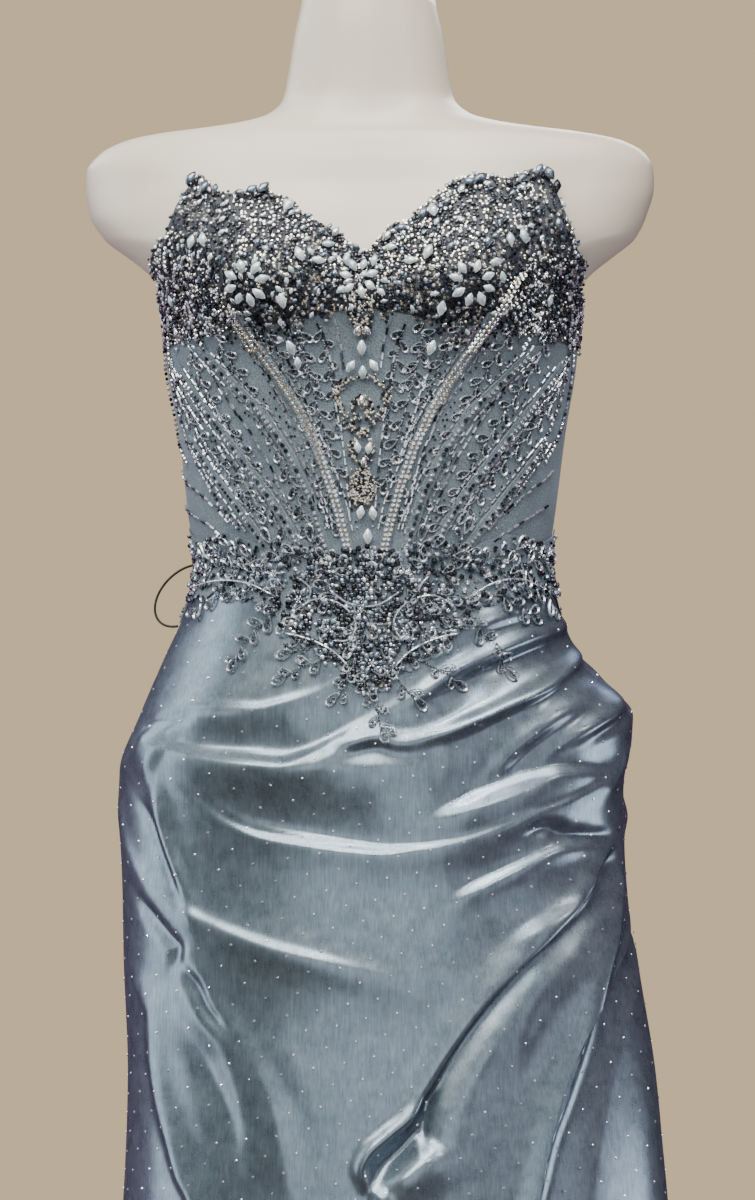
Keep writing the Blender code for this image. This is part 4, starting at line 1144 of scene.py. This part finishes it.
def sprig(area, places, leaf_length=0.0085, gap=0.0105, lift=0.0004, stem="gunmetal", angle=0.75):
    """A beaded stem with loops on both sides and one at its tip."""
    bead_row(area, stem, "round", places, spacing=0.0019, size=0.0015, lift=lift, jitter=0.0002)
    turn, height, heading = trail(places, gap)
    for index, (at, level_at, way) in enumerate(zip(turn, height, heading)):
        side = 1 if index % 2 else -1
        leaf_loop(area, at, level_at, way + side * angle * rng.uniform(0.8, 1.25),
                  leaf_length * rng.uniform(0.82, 1.12), lift)
    tip = trail(places, 0.0006)
    leaf_loop(area, tip[0][-1], tip[1][-1], tip[2][-1], leaf_length * 1.1, lift)


def flower(area, centre, petals, reach, petal, petal_finish, heart_finish, lift=0.0012, turned=0.0):
    """Navette petals round a heart of small beads."""
    turn, height = centre
    for index in range(petals):
        way = turned + 2 * math.pi * index / petals + rng.normal(0, 0.08)
        place = moved(turn, height, reach * math.cos(way), reach * math.sin(way))
        lay(area, petal_finish, "navette", *place, lift, petal * rng.uniform(0.9, 1.12), way)
    for index in range(6):
        way = index * math.pi / 3
        place = moved(turn, height, 0.0022 * math.cos(way), 0.0022 * math.sin(way))
        lay(area, heart_finish, "round", *place, lift, 0.0017, 0)
    lay(area, "clear", "chaton", turn, height, lift + 0.0008, 0.0030, 0)


def tube(path, side, out, radius, columns):
    """Rings of points round a path, from its sideways and outward directions."""
    around = np.linspace(0, 2 * math.pi, columns, endpoint=False)
    ring = np.cos(around)[None, :, None] * side[:, None, :] + np.sin(around)[None, :, None] * out[:, None, :]
    return path[:, None, :] + np.broadcast_to(radius, len(path))[:, None, None] * ring


def cord(places, radius, lift):
    """A round cord laid along a route over the surface, as a closed tube."""
    turn, height, _ = trail(places, 0.0012)
    place, out, _, _ = seat(turn, height, lift)
    swell = np.ones(len(place))
    swell[[0, -1]] = 0.05
    return tube(place, np.cross(headings(place), out), out, radius * swell, 6)


def join_tubes(name, tubes, finish):
    """Tubes as rings of points, joined as one mesh."""
    pieces = [(rings.reshape(-1, 3), grid_quads(0, rings.shape[0], rings.shape[1], closed=True)[:, ::-1])
              for rings in tubes]
    return join_pieces(name, pieces, finish, 60)


def mirrored(route):
    """A route of photo pixels on the other side, where the turned figure shows a little more of its flank."""
    away = [(FRONT_PIXEL - x, y) for x, y in route]
    return [(FRONT_PIXEL + x + FLANK_SHARE * max(x - FLANK_START, 0), y) for x, y in away]


def both_sides(route):
    """A route of photo pixels and its mirror image, as places on the surface."""
    return seen_at(route), seen_at(mirrored(route))


def pick(count, *shares):
    """Names drawn by their shares."""
    names = [name for name, _ in shares]
    weights = np.array([share for _, share in shares], dtype=float)
    return rng.choice(names, count, p=weights / weights.sum())


def fill_area(area, turn, height, lift, patches):
    """Beads of mixed sorts at given places: pale crystals in patches, dark glass between them."""
    girth = turn * BODICE_GIRTH
    cloud = np.sin(girth * 260 + 2 * np.sin(height * 140)) + np.sin(height * 310 + girth * 120) \
        + 0.7 * np.sin(girth * 520 - height * 430)
    bright = cloud + rng.normal(0, 0.7, len(turn)) > patches
    for chosen, sorts in ((bright, (("champagne", 7), ("silver", 2), ("clear", 1.6), ("gunmetal", 4))),
                          (~bright, (("gunmetal", 9), ("slate", 1), ("silver", 1.4), ("champagne", 2.4)))):
        names = np.where(chosen, pick(len(turn), *sorts), "")
        for finish in sorted(set(names) - {""}):
            here = names == finish
            kind = "chaton" if finish in ("champagne", "clear") else "round"
            size = rng.uniform(0.0018, 0.0030, here.sum()) * (1.25 if finish in ("slate", "silver") else 1)
            lay(area, finish, kind, turn[here], height[here], lift + rng.uniform(0, 0.0006, here.sum()),
                size, rng.uniform(0, 6, here.sum()))


def uneven_grid(columns, rows, across, up):
    """Places of a grid, each moved at random by up to these distances in metres."""
    girth, height = (part.ravel() for part in np.meshgrid(columns, rows))
    girth = girth + rng.uniform(-across, across, girth.size)
    return girth, height + rng.uniform(-up, up, girth.size)


def make_cup_beads():
    """Beads all over the cups, with flowers of opal stones and larger stones among them."""
    for side, area in ((-1, "left_cup"), (1, "right_cup")):
        girth, height = uneven_grid(np.arange(0.0006, 0.175, 0.0025), np.arange(1.188, 1.345, 0.0021),
                                    across=0.0009, up=0.0008)
        turn = side * girth / CUP_GIRTH
        turn = np.where(np.abs(turn) > 0.9, side * (0.9 + (np.abs(turn) - 0.9) * 0.78), turn)
        low_edge = cup_seam(turn) - 0.004 * np.exp(-((np.abs(turn) - 0.10) / 0.09) ** 2) \
            - 0.016 * np.exp(-((np.abs(turn) - 0.62) / 0.20) ** 2) + 0.004 * np.sin(turn * 31)
        keep = (height > low_edge) & (height < neckline(turn) + 0.0012) & (np.abs(turn) < SIDE_SEAM)
        keep &= (height > cup_seam(turn)) | (rng.random(turn.size) < 0.75)
        thin = (height > cup_seam(turn) + 0.001) & (height < low_edge) & (rng.random(turn.size) < 0.8)
        fill_area(area, turn[thin], height[thin], 0.0001, 1.2)
        fill_area(area, turn[keep], height[keep], 0.0001, 0.25)
        large = np.flatnonzero(keep)
        large = large[rng.random(len(large)) < 0.075]
        names = pick(len(large), ("slate", 2), ("gunmetal", 3), ("opal", 2), ("silver", 3))
        for finish in ("slate", "gunmetal", "opal", "silver"):
            here = large[names == finish]
            lay(area, finish, "navette", turn[here], height[here], 0.0014,
                rng.uniform(0.0042, 0.0068, len(here)), rng.uniform(0, 6, len(here)))
    for x, area, turned in ((248, "left_cup", 0.2), (471, "right_cup", 0.5)):
        flower(area, seen_at([(x, 282)])[0], 8, 0.0112, 0.0104, "opal", "gunmetal", 0.0030, turned)
    for route in CUP_ROWS:
        for area, places in zip(("left_cup", "right_cup"), both_sides(route)):
            bead_row(area, "clear silver gunmetal", "chaton", places, spacing=0.0034, size=0.0034, lift=0.0026,
                     jitter=0.0002)
    for finish, stones in STONES.items():
        for x, y, size, spin in stones:
            area = "left_cup" if x < FRONT_PIXEL else "right_cup"
            lay(area, finish, "navette", *seen_at([(x, y)])[0], 0.0028, 1.3 * size * MM, math.radians(spin))


def make_vines():
    """Sprigs of bullion loops between the boning, and dashes of bugles along it."""
    for route in VINES:
        for side, places in zip(("left", "right"), both_sides(route)):
            sprig(f"{side}_vines", places, leaf_length=0.0092, gap=0.0070, lift=0.0003,
                  stem="gunmetal silver gunmetal clear")
    for routes, kind, spacing, size, jitter in ((BUGLE_LINES, "bugle", 0.0060, 0.0046, 0.0005),
                                                (SIDE_ROWS, "round", 0.0038, 0.0030, 0.0003)):
        for route in routes:
            for side, places in zip(("left", "right"), both_sides(route)):
                bead_row(f"{side}_vines", "clear silver gunmetal", kind, places, spacing, size, 0.0003, jitter)
    for (line, side), centre in SEAMS.items():
        area = "left_vines" if side < 0 else "right_vines"
        levels = np.linspace(1.083, CASING_TRIMS[line][0] - 0.004, 12)
        for offset in (-0.0072, 0.0072):
            turn, height = moved(centre(levels), levels, offset, 0.0)
            bead_row(area, "clear silver silver", "bugle", np.column_stack([turn, height]), spacing=0.0060,
                     size=0.0042, lift=0.0003, jitter=0.0005)
            turn, height = moved(turn, height, 0.5 * offset, 0.0)
            bead_row(area, "silver gunmetal gunmetal", "round", np.column_stack([turn, height]),
                     spacing=0.0055, size=0.0018, lift=0.0002, jitter=0.0012)


def make_cup_rows():
    """The double rows of the princess boning where they run on up the cups."""
    for side_name, (low, middle, high) in (("left", ((254, 352), (240, 326), (229, 306))),
                                           ("right", ((470, 352), (496, 314), (522, 272)))):
        for shift in (-2.2, 2.2):
            places = seen_at([(x + shift, y) for x, y in (low, middle, high)])
            bead_row(f"{side_name}_boning", "champagne champagne clear", "chaton", places, spacing=0.0035,
                     size=0.0034, lift=0.0034, jitter=0.0001)


def make_motif():
    """Stones, petals and champagne crystals up the centre front."""
    area = "center_motif"
    flower(area, seen_at([(359, 279)])[0], 7, 0.0096, 0.0092, "opal", "silver", 0.0030, 0.3)
    for route in MOTIF_LINES:
        for places in both_sides(route):
            for row in range(4):
                bead_row(area, "champagne champagne champagne gunmetal", "round", places, spacing=0.0029,
                         size=0.0025, lift=0.0010 + 0.0004 * row, jitter=0.0014)
    for finish, stones in MOTIF_STONES.items():
        for x, y, size, spin in stones:
            lay(area, finish, "navette", *seen_at([(x, y)])[0], 0.0026, 1.25 * size * MM, math.radians(spin))
    # A drop of small beads at the top, narrower towards its foot.
    top = seen_at([(361, 308)])[0]
    count = 90
    share = np.sqrt(rng.random(count))
    turn, height = moved(np.full(count, top[0]), np.full(count, top[1]),
                         0.0125 * (1 - 0.7 * share) * rng.uniform(-1, 1, count), 0.014 - 0.030 * share)
    names = pick(count, ("champagne", 3), ("gunmetal", 3), ("silver", 1))
    for finish in ("champagne", "gunmetal", "silver"):
        here = names == finish
        lay(area, finish, "round", turn[here], height[here], 0.0008, 0.0022, 0)
    # A dense oval of five soft lobes above the foot, set in a spiral.
    centre = seen_at([(FRONT_PIXEL + 2, 486)])[0]
    count = 150
    way = np.arange(count) * GOLDEN_ANGLE
    reach = 0.0098 * np.sqrt((np.arange(count) + 0.5) / count) * (1 + 0.14 * np.sin(5 * way))
    turn, height = moved(np.full(count, centre[0]), np.full(count, centre[1]),
                         0.88 * reach * np.cos(way) + rng.normal(0, 0.0005, count),
                         1.15 * reach * np.sin(way) + rng.normal(0, 0.0005, count))
    names = pick(count, ("champagne", 5), ("gunmetal", 3), ("clear", 1))
    for finish in ("champagne", "gunmetal", "clear"):
        here = names == finish
        lay(area, finish, "round", turn[here], height[here], 0.0030 - 0.2 * reach[here],
            rng.uniform(0.0020, 0.0030, here.sum()), way[here])
    for shift_x in (-2.2, 2.2):
        bead_row(area, "silver", "chaton", seen_at([(369 + shift_x, 545), (369 + shift_x, 592)]),
                 spacing=0.0028, size=0.0029, lift=0.0008)


def make_casings():
    """Boning casings with their rows of crystals."""
    lace_turns, lace_heights = outline_edge(LACE_TOP)
    for line, (top, rows, finish, kind, spacing, size) in CASING_TRIMS.items():
        table = SEAM_LINES[line]
        for side, side_name in ((-1, "left"), (1, "right")):
            centre = SEAMS[line, side]
            foot = max(np.interp(centre(np.array(1.078)) + swing, lace_turns, lace_heights)
                       for swing in (-0.06, 0, 0.06)) - 0.004
            height = np.linspace(foot, top, 71)
            slope = np.gradient(np.interp(height / MM, table[:, 0], table[:, 1]) * MM, height)
            turn = centre(height)
            half = 0.5 * CASING_WIDTH * np.sqrt(1 + slope**2)
            swing = (half / section_radius(turn, height)[0])[:, None]
            across = np.array((-1.0, -0.8, -0.62, -0.3, 0.0, 0.3, 0.62, 0.8, 1.0))
            crown = np.array((0.0, 0.7, 0.35, 1.0, 1.0, 1.0, 0.35, 0.7, 0.0)) * 0.0007
            turns = turn[:, None] + swing * across
            heights = height[:, None] + 0 * across
            made = cloth_wall(f"boning_casing_{line}_{side_name}", "net", turns, heights,
                              0.0012 + crown[None, :], 0.0010)
            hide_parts(f"casing_{line}_{side_name}")
            # A casing is under 8 mm wide, and a declared width starts at 10 mm.
            length = flat_size(turns, heights)[1]
            for row in rows:
                places = np.column_stack([turn + row * swing[:, 0], height])[::6]
                bead_row(f"{side_name}_boning", finish, kind, places, spacing, size, lift=0.0019,
                         jitter=0.0001)


def make_waist():
    """The beaded lace at the front waist: net, dense beads, hanging sprigs and scrolls of cord."""
    top_turns, top_heights = outline_edge(LACE_TOP)
    net_places = seen_at(WAIST_NET)

    def lace_top(turn):
        return np.interp(turn, top_turns, top_heights)

    def net_bottom(turn):
        scallop = 0.005 * np.abs(np.sin(turn * 21)) + 0.003 * np.abs(np.sin(turn * 47 + 1))
        return np.interp(turn, net_places[:, 0], net_places[:, 1]) + scallop

    turn, height = panel_grid(upright(-LACE_SIDE), upright(LACE_SIDE), net_bottom, lace_top, 150, 26)
    net = cloth_wall("waist_lace_net", "net", turn, height, NET_LIFT, NET_THICKNESS)
    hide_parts("waist_lace_front")

    girth, height = uneven_grid(np.arange(-0.20, 0.20, 0.0034), np.arange(0.955, 1.095, 0.0030),
                                across=0.0012, up=0.0010)
    turn = girth / WAIST_GIRTH
    inside = (height > net_bottom(turn)) & (height < lace_top(turn) - 0.001) & (np.abs(turn) < LACE_SIDE)
    middle = np.exp(-(turn / 0.55) ** 2)
    inside &= rng.random(turn.size) < 0.40 + 0.55 * middle
    names = pick(turn.size, ("gunmetal", 6), ("slate", 3), ("silver", 2.4), ("champagne", 0.3),
                 ("clear", 1.4))
    for finish in ("gunmetal", "slate", "silver", "champagne", "clear"):
        here = inside & (names == finish)
        kind = "chaton" if finish in ("champagne", "clear") else "round"
        lay("waist", finish, kind, turn[here], height[here], 0.0015 + rng.uniform(0, 0.0008, here.sum()),
            rng.uniform(0.0023, 0.0043, here.sum()), rng.uniform(0, 6, here.sum()))
    for route in WAIST_SPRIGS:
        sprig("waist", seen_at(route), leaf_length=0.0104, gap=0.0074, lift=0.0014)
    large = np.flatnonzero(inside)
    for index in large[rng.random(len(large)) < 0.085]:
        way = math.atan2(height[index] - 1.045, turn[index] * 0.1) + rng.normal(0, 0.7)
        leaf_loop("waist", turn[index], height[index], way, rng.uniform(0.0080, 0.0115), 0.0034)
    large = large[rng.random(len(large)) < 0.12]
    names = pick(len(large), ("gunmetal", 5), ("slate", 2), ("silver", 1))
    for finish in ("gunmetal", "slate", "silver"):
        here = large[names == finish]
        lay("waist", finish, "round", turn[here], height[here], 0.0022,
            rng.uniform(0.0040, 0.0050, len(here)), 0)
    for x, y in WAIST_FLOWERS:
        flower("waist", seen_at([(x, y)])[0], 6, 0.0062, 0.0064, "slate", "silver", 0.0030)
    scrolls = [cord(seen_at(route), radius=0.0008, lift=0.0042) for route in WAIST_SCROLLS]
    join_tubes("waist_cord_scrolls", scrolls, "cord")


def make_lace_backs():
    """The two ends of the waist lace, which narrow towards centre back."""
    reach = LACE_BACK_END - LACE_SIDE

    def back_top(turn):
        taper = (np.abs(turn) - LACE_SIDE) / reach
        return 1.086 - 0.022 * taper + 0.003 * np.sin(turn * 14)

    def back_bottom(turn):
        taper = (np.abs(turn) - LACE_SIDE) / reach
        return 1.022 + 0.018 * taper + 0.004 * np.sin(turn * 17)

    for side_sign, side_name in ((-1, "left"), (1, "right")):
        near = side_sign * LACE_SIDE
        far = side_sign * LACE_BACK_END
        turn, height = panel_grid(upright(min(near, far)), upright(max(near, far)), back_bottom, back_top,
                                  60, 16)
        made = cloth_wall(f"waist_lace_back_net_{side_name}", "net", turn, height, NET_LIFT, NET_THICKNESS)
        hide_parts(f"waist_lace_back_{side_name}")
        count = 330
        turn = side_sign * (LACE_SIDE + reach * rng.random(count) ** 1.2)
        share = rng.uniform(0.06, 0.94, count)
        height = back_bottom(turn) + (back_top(turn) - back_bottom(turn)) * share
        names = pick(count, ("gunmetal", 6), ("slate", 2.6), ("silver", 2.6))
        for finish in ("gunmetal", "slate", "silver"):
            here = names == finish
            lay("waist", finish, "round", turn[here], height[here], 0.0015,
                rng.uniform(0.0020, 0.0029, here.sum()), 0)
        stem = [(side_sign * (LACE_SIDE + past), height)
                for past, height in ((0.1, 1.055), (0.35, 1.062), (0.6, 1.052), (0.88, 1.058))]
        sprig("waist", stem, leaf_length=0.0085, gap=0.0085, lift=0.0014)


def make_placket_and_loop():
    """The placket over the hooks at centre back and the hanging loop."""
    rows = np.linspace(0.862, BACK_TOP - 0.002, 121)
    half = 0.0068 / section_radius(np.full(len(rows), math.pi), rows)[0]
    across = np.array((-1.0, -0.86, -0.4, 0.0, 0.4, 0.86, 1.0))
    crown = np.array((0.0, 0.5, 0.6, 0.6, 0.6, 0.5, 0.0)) * 0.001
    turn = math.pi + half[:, None] * across
    height = rows[:, None] + 0 * across
    made = cloth_wall("satin_back_placket", "satin", turn, height, 0.0016 + crown[None, :], 0.0012)
    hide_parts("back_placket")
    flat_size(turn, height)

    ends, _, _, _ = seat(np.full(2, LOOP_TURN), np.array(LOOP_HEIGHTS), np.array(LOOP_LIFTS))
    middle = ends.mean(axis=0)
    bow = np.array(LOOP_BOW)
    around = np.linspace(0, math.pi, 60)
    path = middle + (ends[0] - middle) * np.cos(around)[:, None] + bow * np.sin(around)[:, None]
    ahead = headings(path)
    side = np.cross(ahead, (0.2, 0.9, 0.1))
    side /= np.linalg.norm(side, axis=1)[:, None]
    rings = tube(path, side, np.cross(side, ahead), LOOP_RADIUS, 10)
    ends = [path[:1, None] + 0 * rings[:1], path[-1:, None] + 0 * rings[:1]]
    loop = join_tubes("hanging_loop", [np.concatenate([ends[0], rings, ends[1]])], "loop")
    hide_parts("hanger_loop")


def make_studs():
    """Rhinestones pressed on the satin in a slanting lattice, all round."""
    column, row = (part.ravel() for part in np.meshgrid(np.arange(-60, 60), np.arange(-20, 90)))
    girth = column * STUD_STEPS[0][0] + row * STUD_STEPS[1][0] + rng.normal(0, 0.0005, column.size)
    height = column * STUD_STEPS[0][1] + row * STUD_STEPS[1][1] + rng.normal(0, 0.0005, column.size)
    turn = girth / girth_scale(np.clip(height, HEM_HEIGHT, WAIST_SEAM))
    keep = (np.abs(turn) < math.pi - 0.03) & (height > HEM_HEIGHT + 0.006) & (height < 1.022)
    turn = turn[keep]
    height = height[keep]
    stones = seat_beads("chaton", turn, height, 0.0, rng.uniform(0.0018, 0.0024, len(turn)),
                        rng.uniform(0, 6, len(turn)))
    join_pieces("rhinestone_studs", [stones], "clear", BEAD_SHARP_DEGREES)


def make_floor_and_world():
    """A pale floor, and a world that is a plain wall to the camera and a dim room with plum to the gown."""
    bpy.ops.mesh.primitive_circle_add(vertices=96, radius=1.25, fill_type="NGON", location=(0, 0, 0))
    floor = bpy.context.object
    floor.name = "studio_floor"
    floor.data.materials.append(FINISHES["studio"])
    floor.visible_glossy = False

    world = bpy.data.worlds.new("studio")
    bpy.context.scene.world = world
    world.use_nodes = True
    tree = world.node_tree
    tree.nodes.clear()
    direction = add_node(tree, "ShaderNodeTexCoord").outputs["Generated"]
    across, back, up = add_node(tree, "ShaderNodeSeparateXYZ", links={"Vector": direction}).outputs
    room = ramp(tree, ranged(tree, up, -0.6, 0.9), [(0.0, "#211828"), (0.28, "#2A2531"), (0.38, "#4C4E58"),
                                                    (0.60, "#8D939B"), (0.74, "#C2C6CA"), (1.0, "#F0F2F4")])
    plum = ramp(tree, ranged(tree, across, -0.10, 0.50), [(0.0, "#823C80"), (1.0, "#4E2C58")])
    # Plum fills the right, and behind the figure all but the upper left.
    low_or_right = combined(tree, "MAXIMUM", ranged(tree, up, 0.46, 0.22), ranged(tree, across, -0.15, 0.15))
    behind = combined(tree, "MULTIPLY", ranged(tree, back, 0.0, 0.30), low_or_right)
    plum_share = combined(tree, "MAXIMUM", behind, ranged(tree, across, 0.32, 0.64))
    tones = add_node(tree, "ShaderNodeMix", {"data_type": "RGBA"},
                     {MIX_FACTOR: plum_share, MIX_FIRST: room, MIX_SECOND: plum})
    seen = add_node(tree, "ShaderNodeBackground", {"Color": linear("#D0BA94"), "Strength": 1.13})
    around = add_node(tree, "ShaderNodeBackground", {"Strength": 0.75}, {"Color": tones.outputs[MIX_COLOUR]})
    path = add_node(tree, "ShaderNodeLightPath")
    mixed = add_node(tree, "ShaderNodeMixShader", links={
        0: path.outputs["Is Camera Ray"], 1: around.outputs[0], 2: seen.outputs[0]})
    add_node(tree, "ShaderNodeOutputWorld", links={"Surface": mixed.outputs[0]})


def make_lamps_and_camera():
    """Soft studio lamps with five small bright ones, and the camera at the photo's view."""
    lamps = [
        # name, place, size, power, warmth
        ("key", (-0.6, -2.2, 2.9), (2.4, 1.3), 62, "#FFF8EE"),
        ("overhead", (0.2, -0.9, 3.1), (2.6, 0.9), 56, "#FFFBF4"),
        ("front", (0.1, -3.6, 0.9), (2.8, 1.6), 17, "#F6F8FF"),
        ("left strip", (-2.3, -0.25, 1.2), (1.3, 2.3), 22, "#F4F8FF"),
        ("left high", (-1.7, 1.1, 2.3), (1.4, 0.9), 13, "#F4F8FF"),
        ("right strip", (1.9, -2.2, 1.0), (0.7, 1.6), 3, "#F4F8FF"),
        ("low strip", (2.2, -0.05, 0.32), (1.2, 0.55), 9, "#F4F8FF"),
        ("back", (0.5, 2.4, 2.6), (1.8, 1.0), 30, "#FFFFFF"),
        ("spot one", (-1.7, -1.9, 2.9), (0.10, 0.10), 9, "#FFFFFF"),
        ("spot two", (-0.3, -2.9, 2.9), (0.10, 0.10), 9, "#FFF4E4"),
        ("spot three", (1.0, -2.3, 2.8), (0.10, 0.10), 9, "#FFFFFF"),
        ("spot four", (2.0, -1.5, 2.4), (0.10, 0.10), 7, "#FFF8EE"),
        ("spot five", (0.2, -1.4, 3.2), (0.10, 0.10), 9, "#FFFFFF"),
    ]
    for name, place, size, power, warmth in lamps:
        data = bpy.data.lights.new(name, "AREA")
        data.shape = "RECTANGLE"
        data.size, data.size_y = size
        data.energy = power
        data.color = linear(warmth)[:3]
        lamp = bpy.data.objects.new(name, data)
        lamp.location = place
        lamp.rotation_euler = (Vector((0, 0, 1.0)) - Vector(place)).to_track_quat("-Z", "Y").to_euler()
        bpy.context.scene.collection.objects.link(lamp)

    target = Vector(((PHOTO_WIDTH / 2 - AXIS_PIXEL) * MM_PER_PIXEL * MM, 0, VIEW_HEIGHT))
    data = bpy.data.cameras.new("camera")
    data.sensor_width = SENSOR
    data.lens = SENSOR * CAMERA_DISTANCE / (PHOTO_HEIGHT * MM_PER_PIXEL * MM)
    camera = bpy.data.objects.new("camera", data)
    away = Vector((math.sin(CAMERA_AZIMUTH), -math.cos(CAMERA_AZIMUTH), 0))
    camera.location = target + away * CAMERA_DISTANCE
    camera.rotation_euler = (-away).to_track_quat("-Z", "Y").to_euler()
    bpy.context.scene.collection.objects.link(camera)
    bpy.context.scene.camera = camera


for part in list(bpy.data.objects):
    if part.name in ("Cube", "Light", "Camera"):
        bpy.data.objects.remove(part, do_unlink=True)
make_form_and_stand()
make_bodice()
make_skirt()
make_casings()
make_cup_beads()
make_vines()
make_cup_rows()
make_motif()
make_waist()
make_lace_backs()
for motif_piece in sew_tray()["center_motif"]:
    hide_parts("center_front_motif")
make_placket_and_loop()
make_studs()
make_floor_and_world()
make_lamps_and_camera()
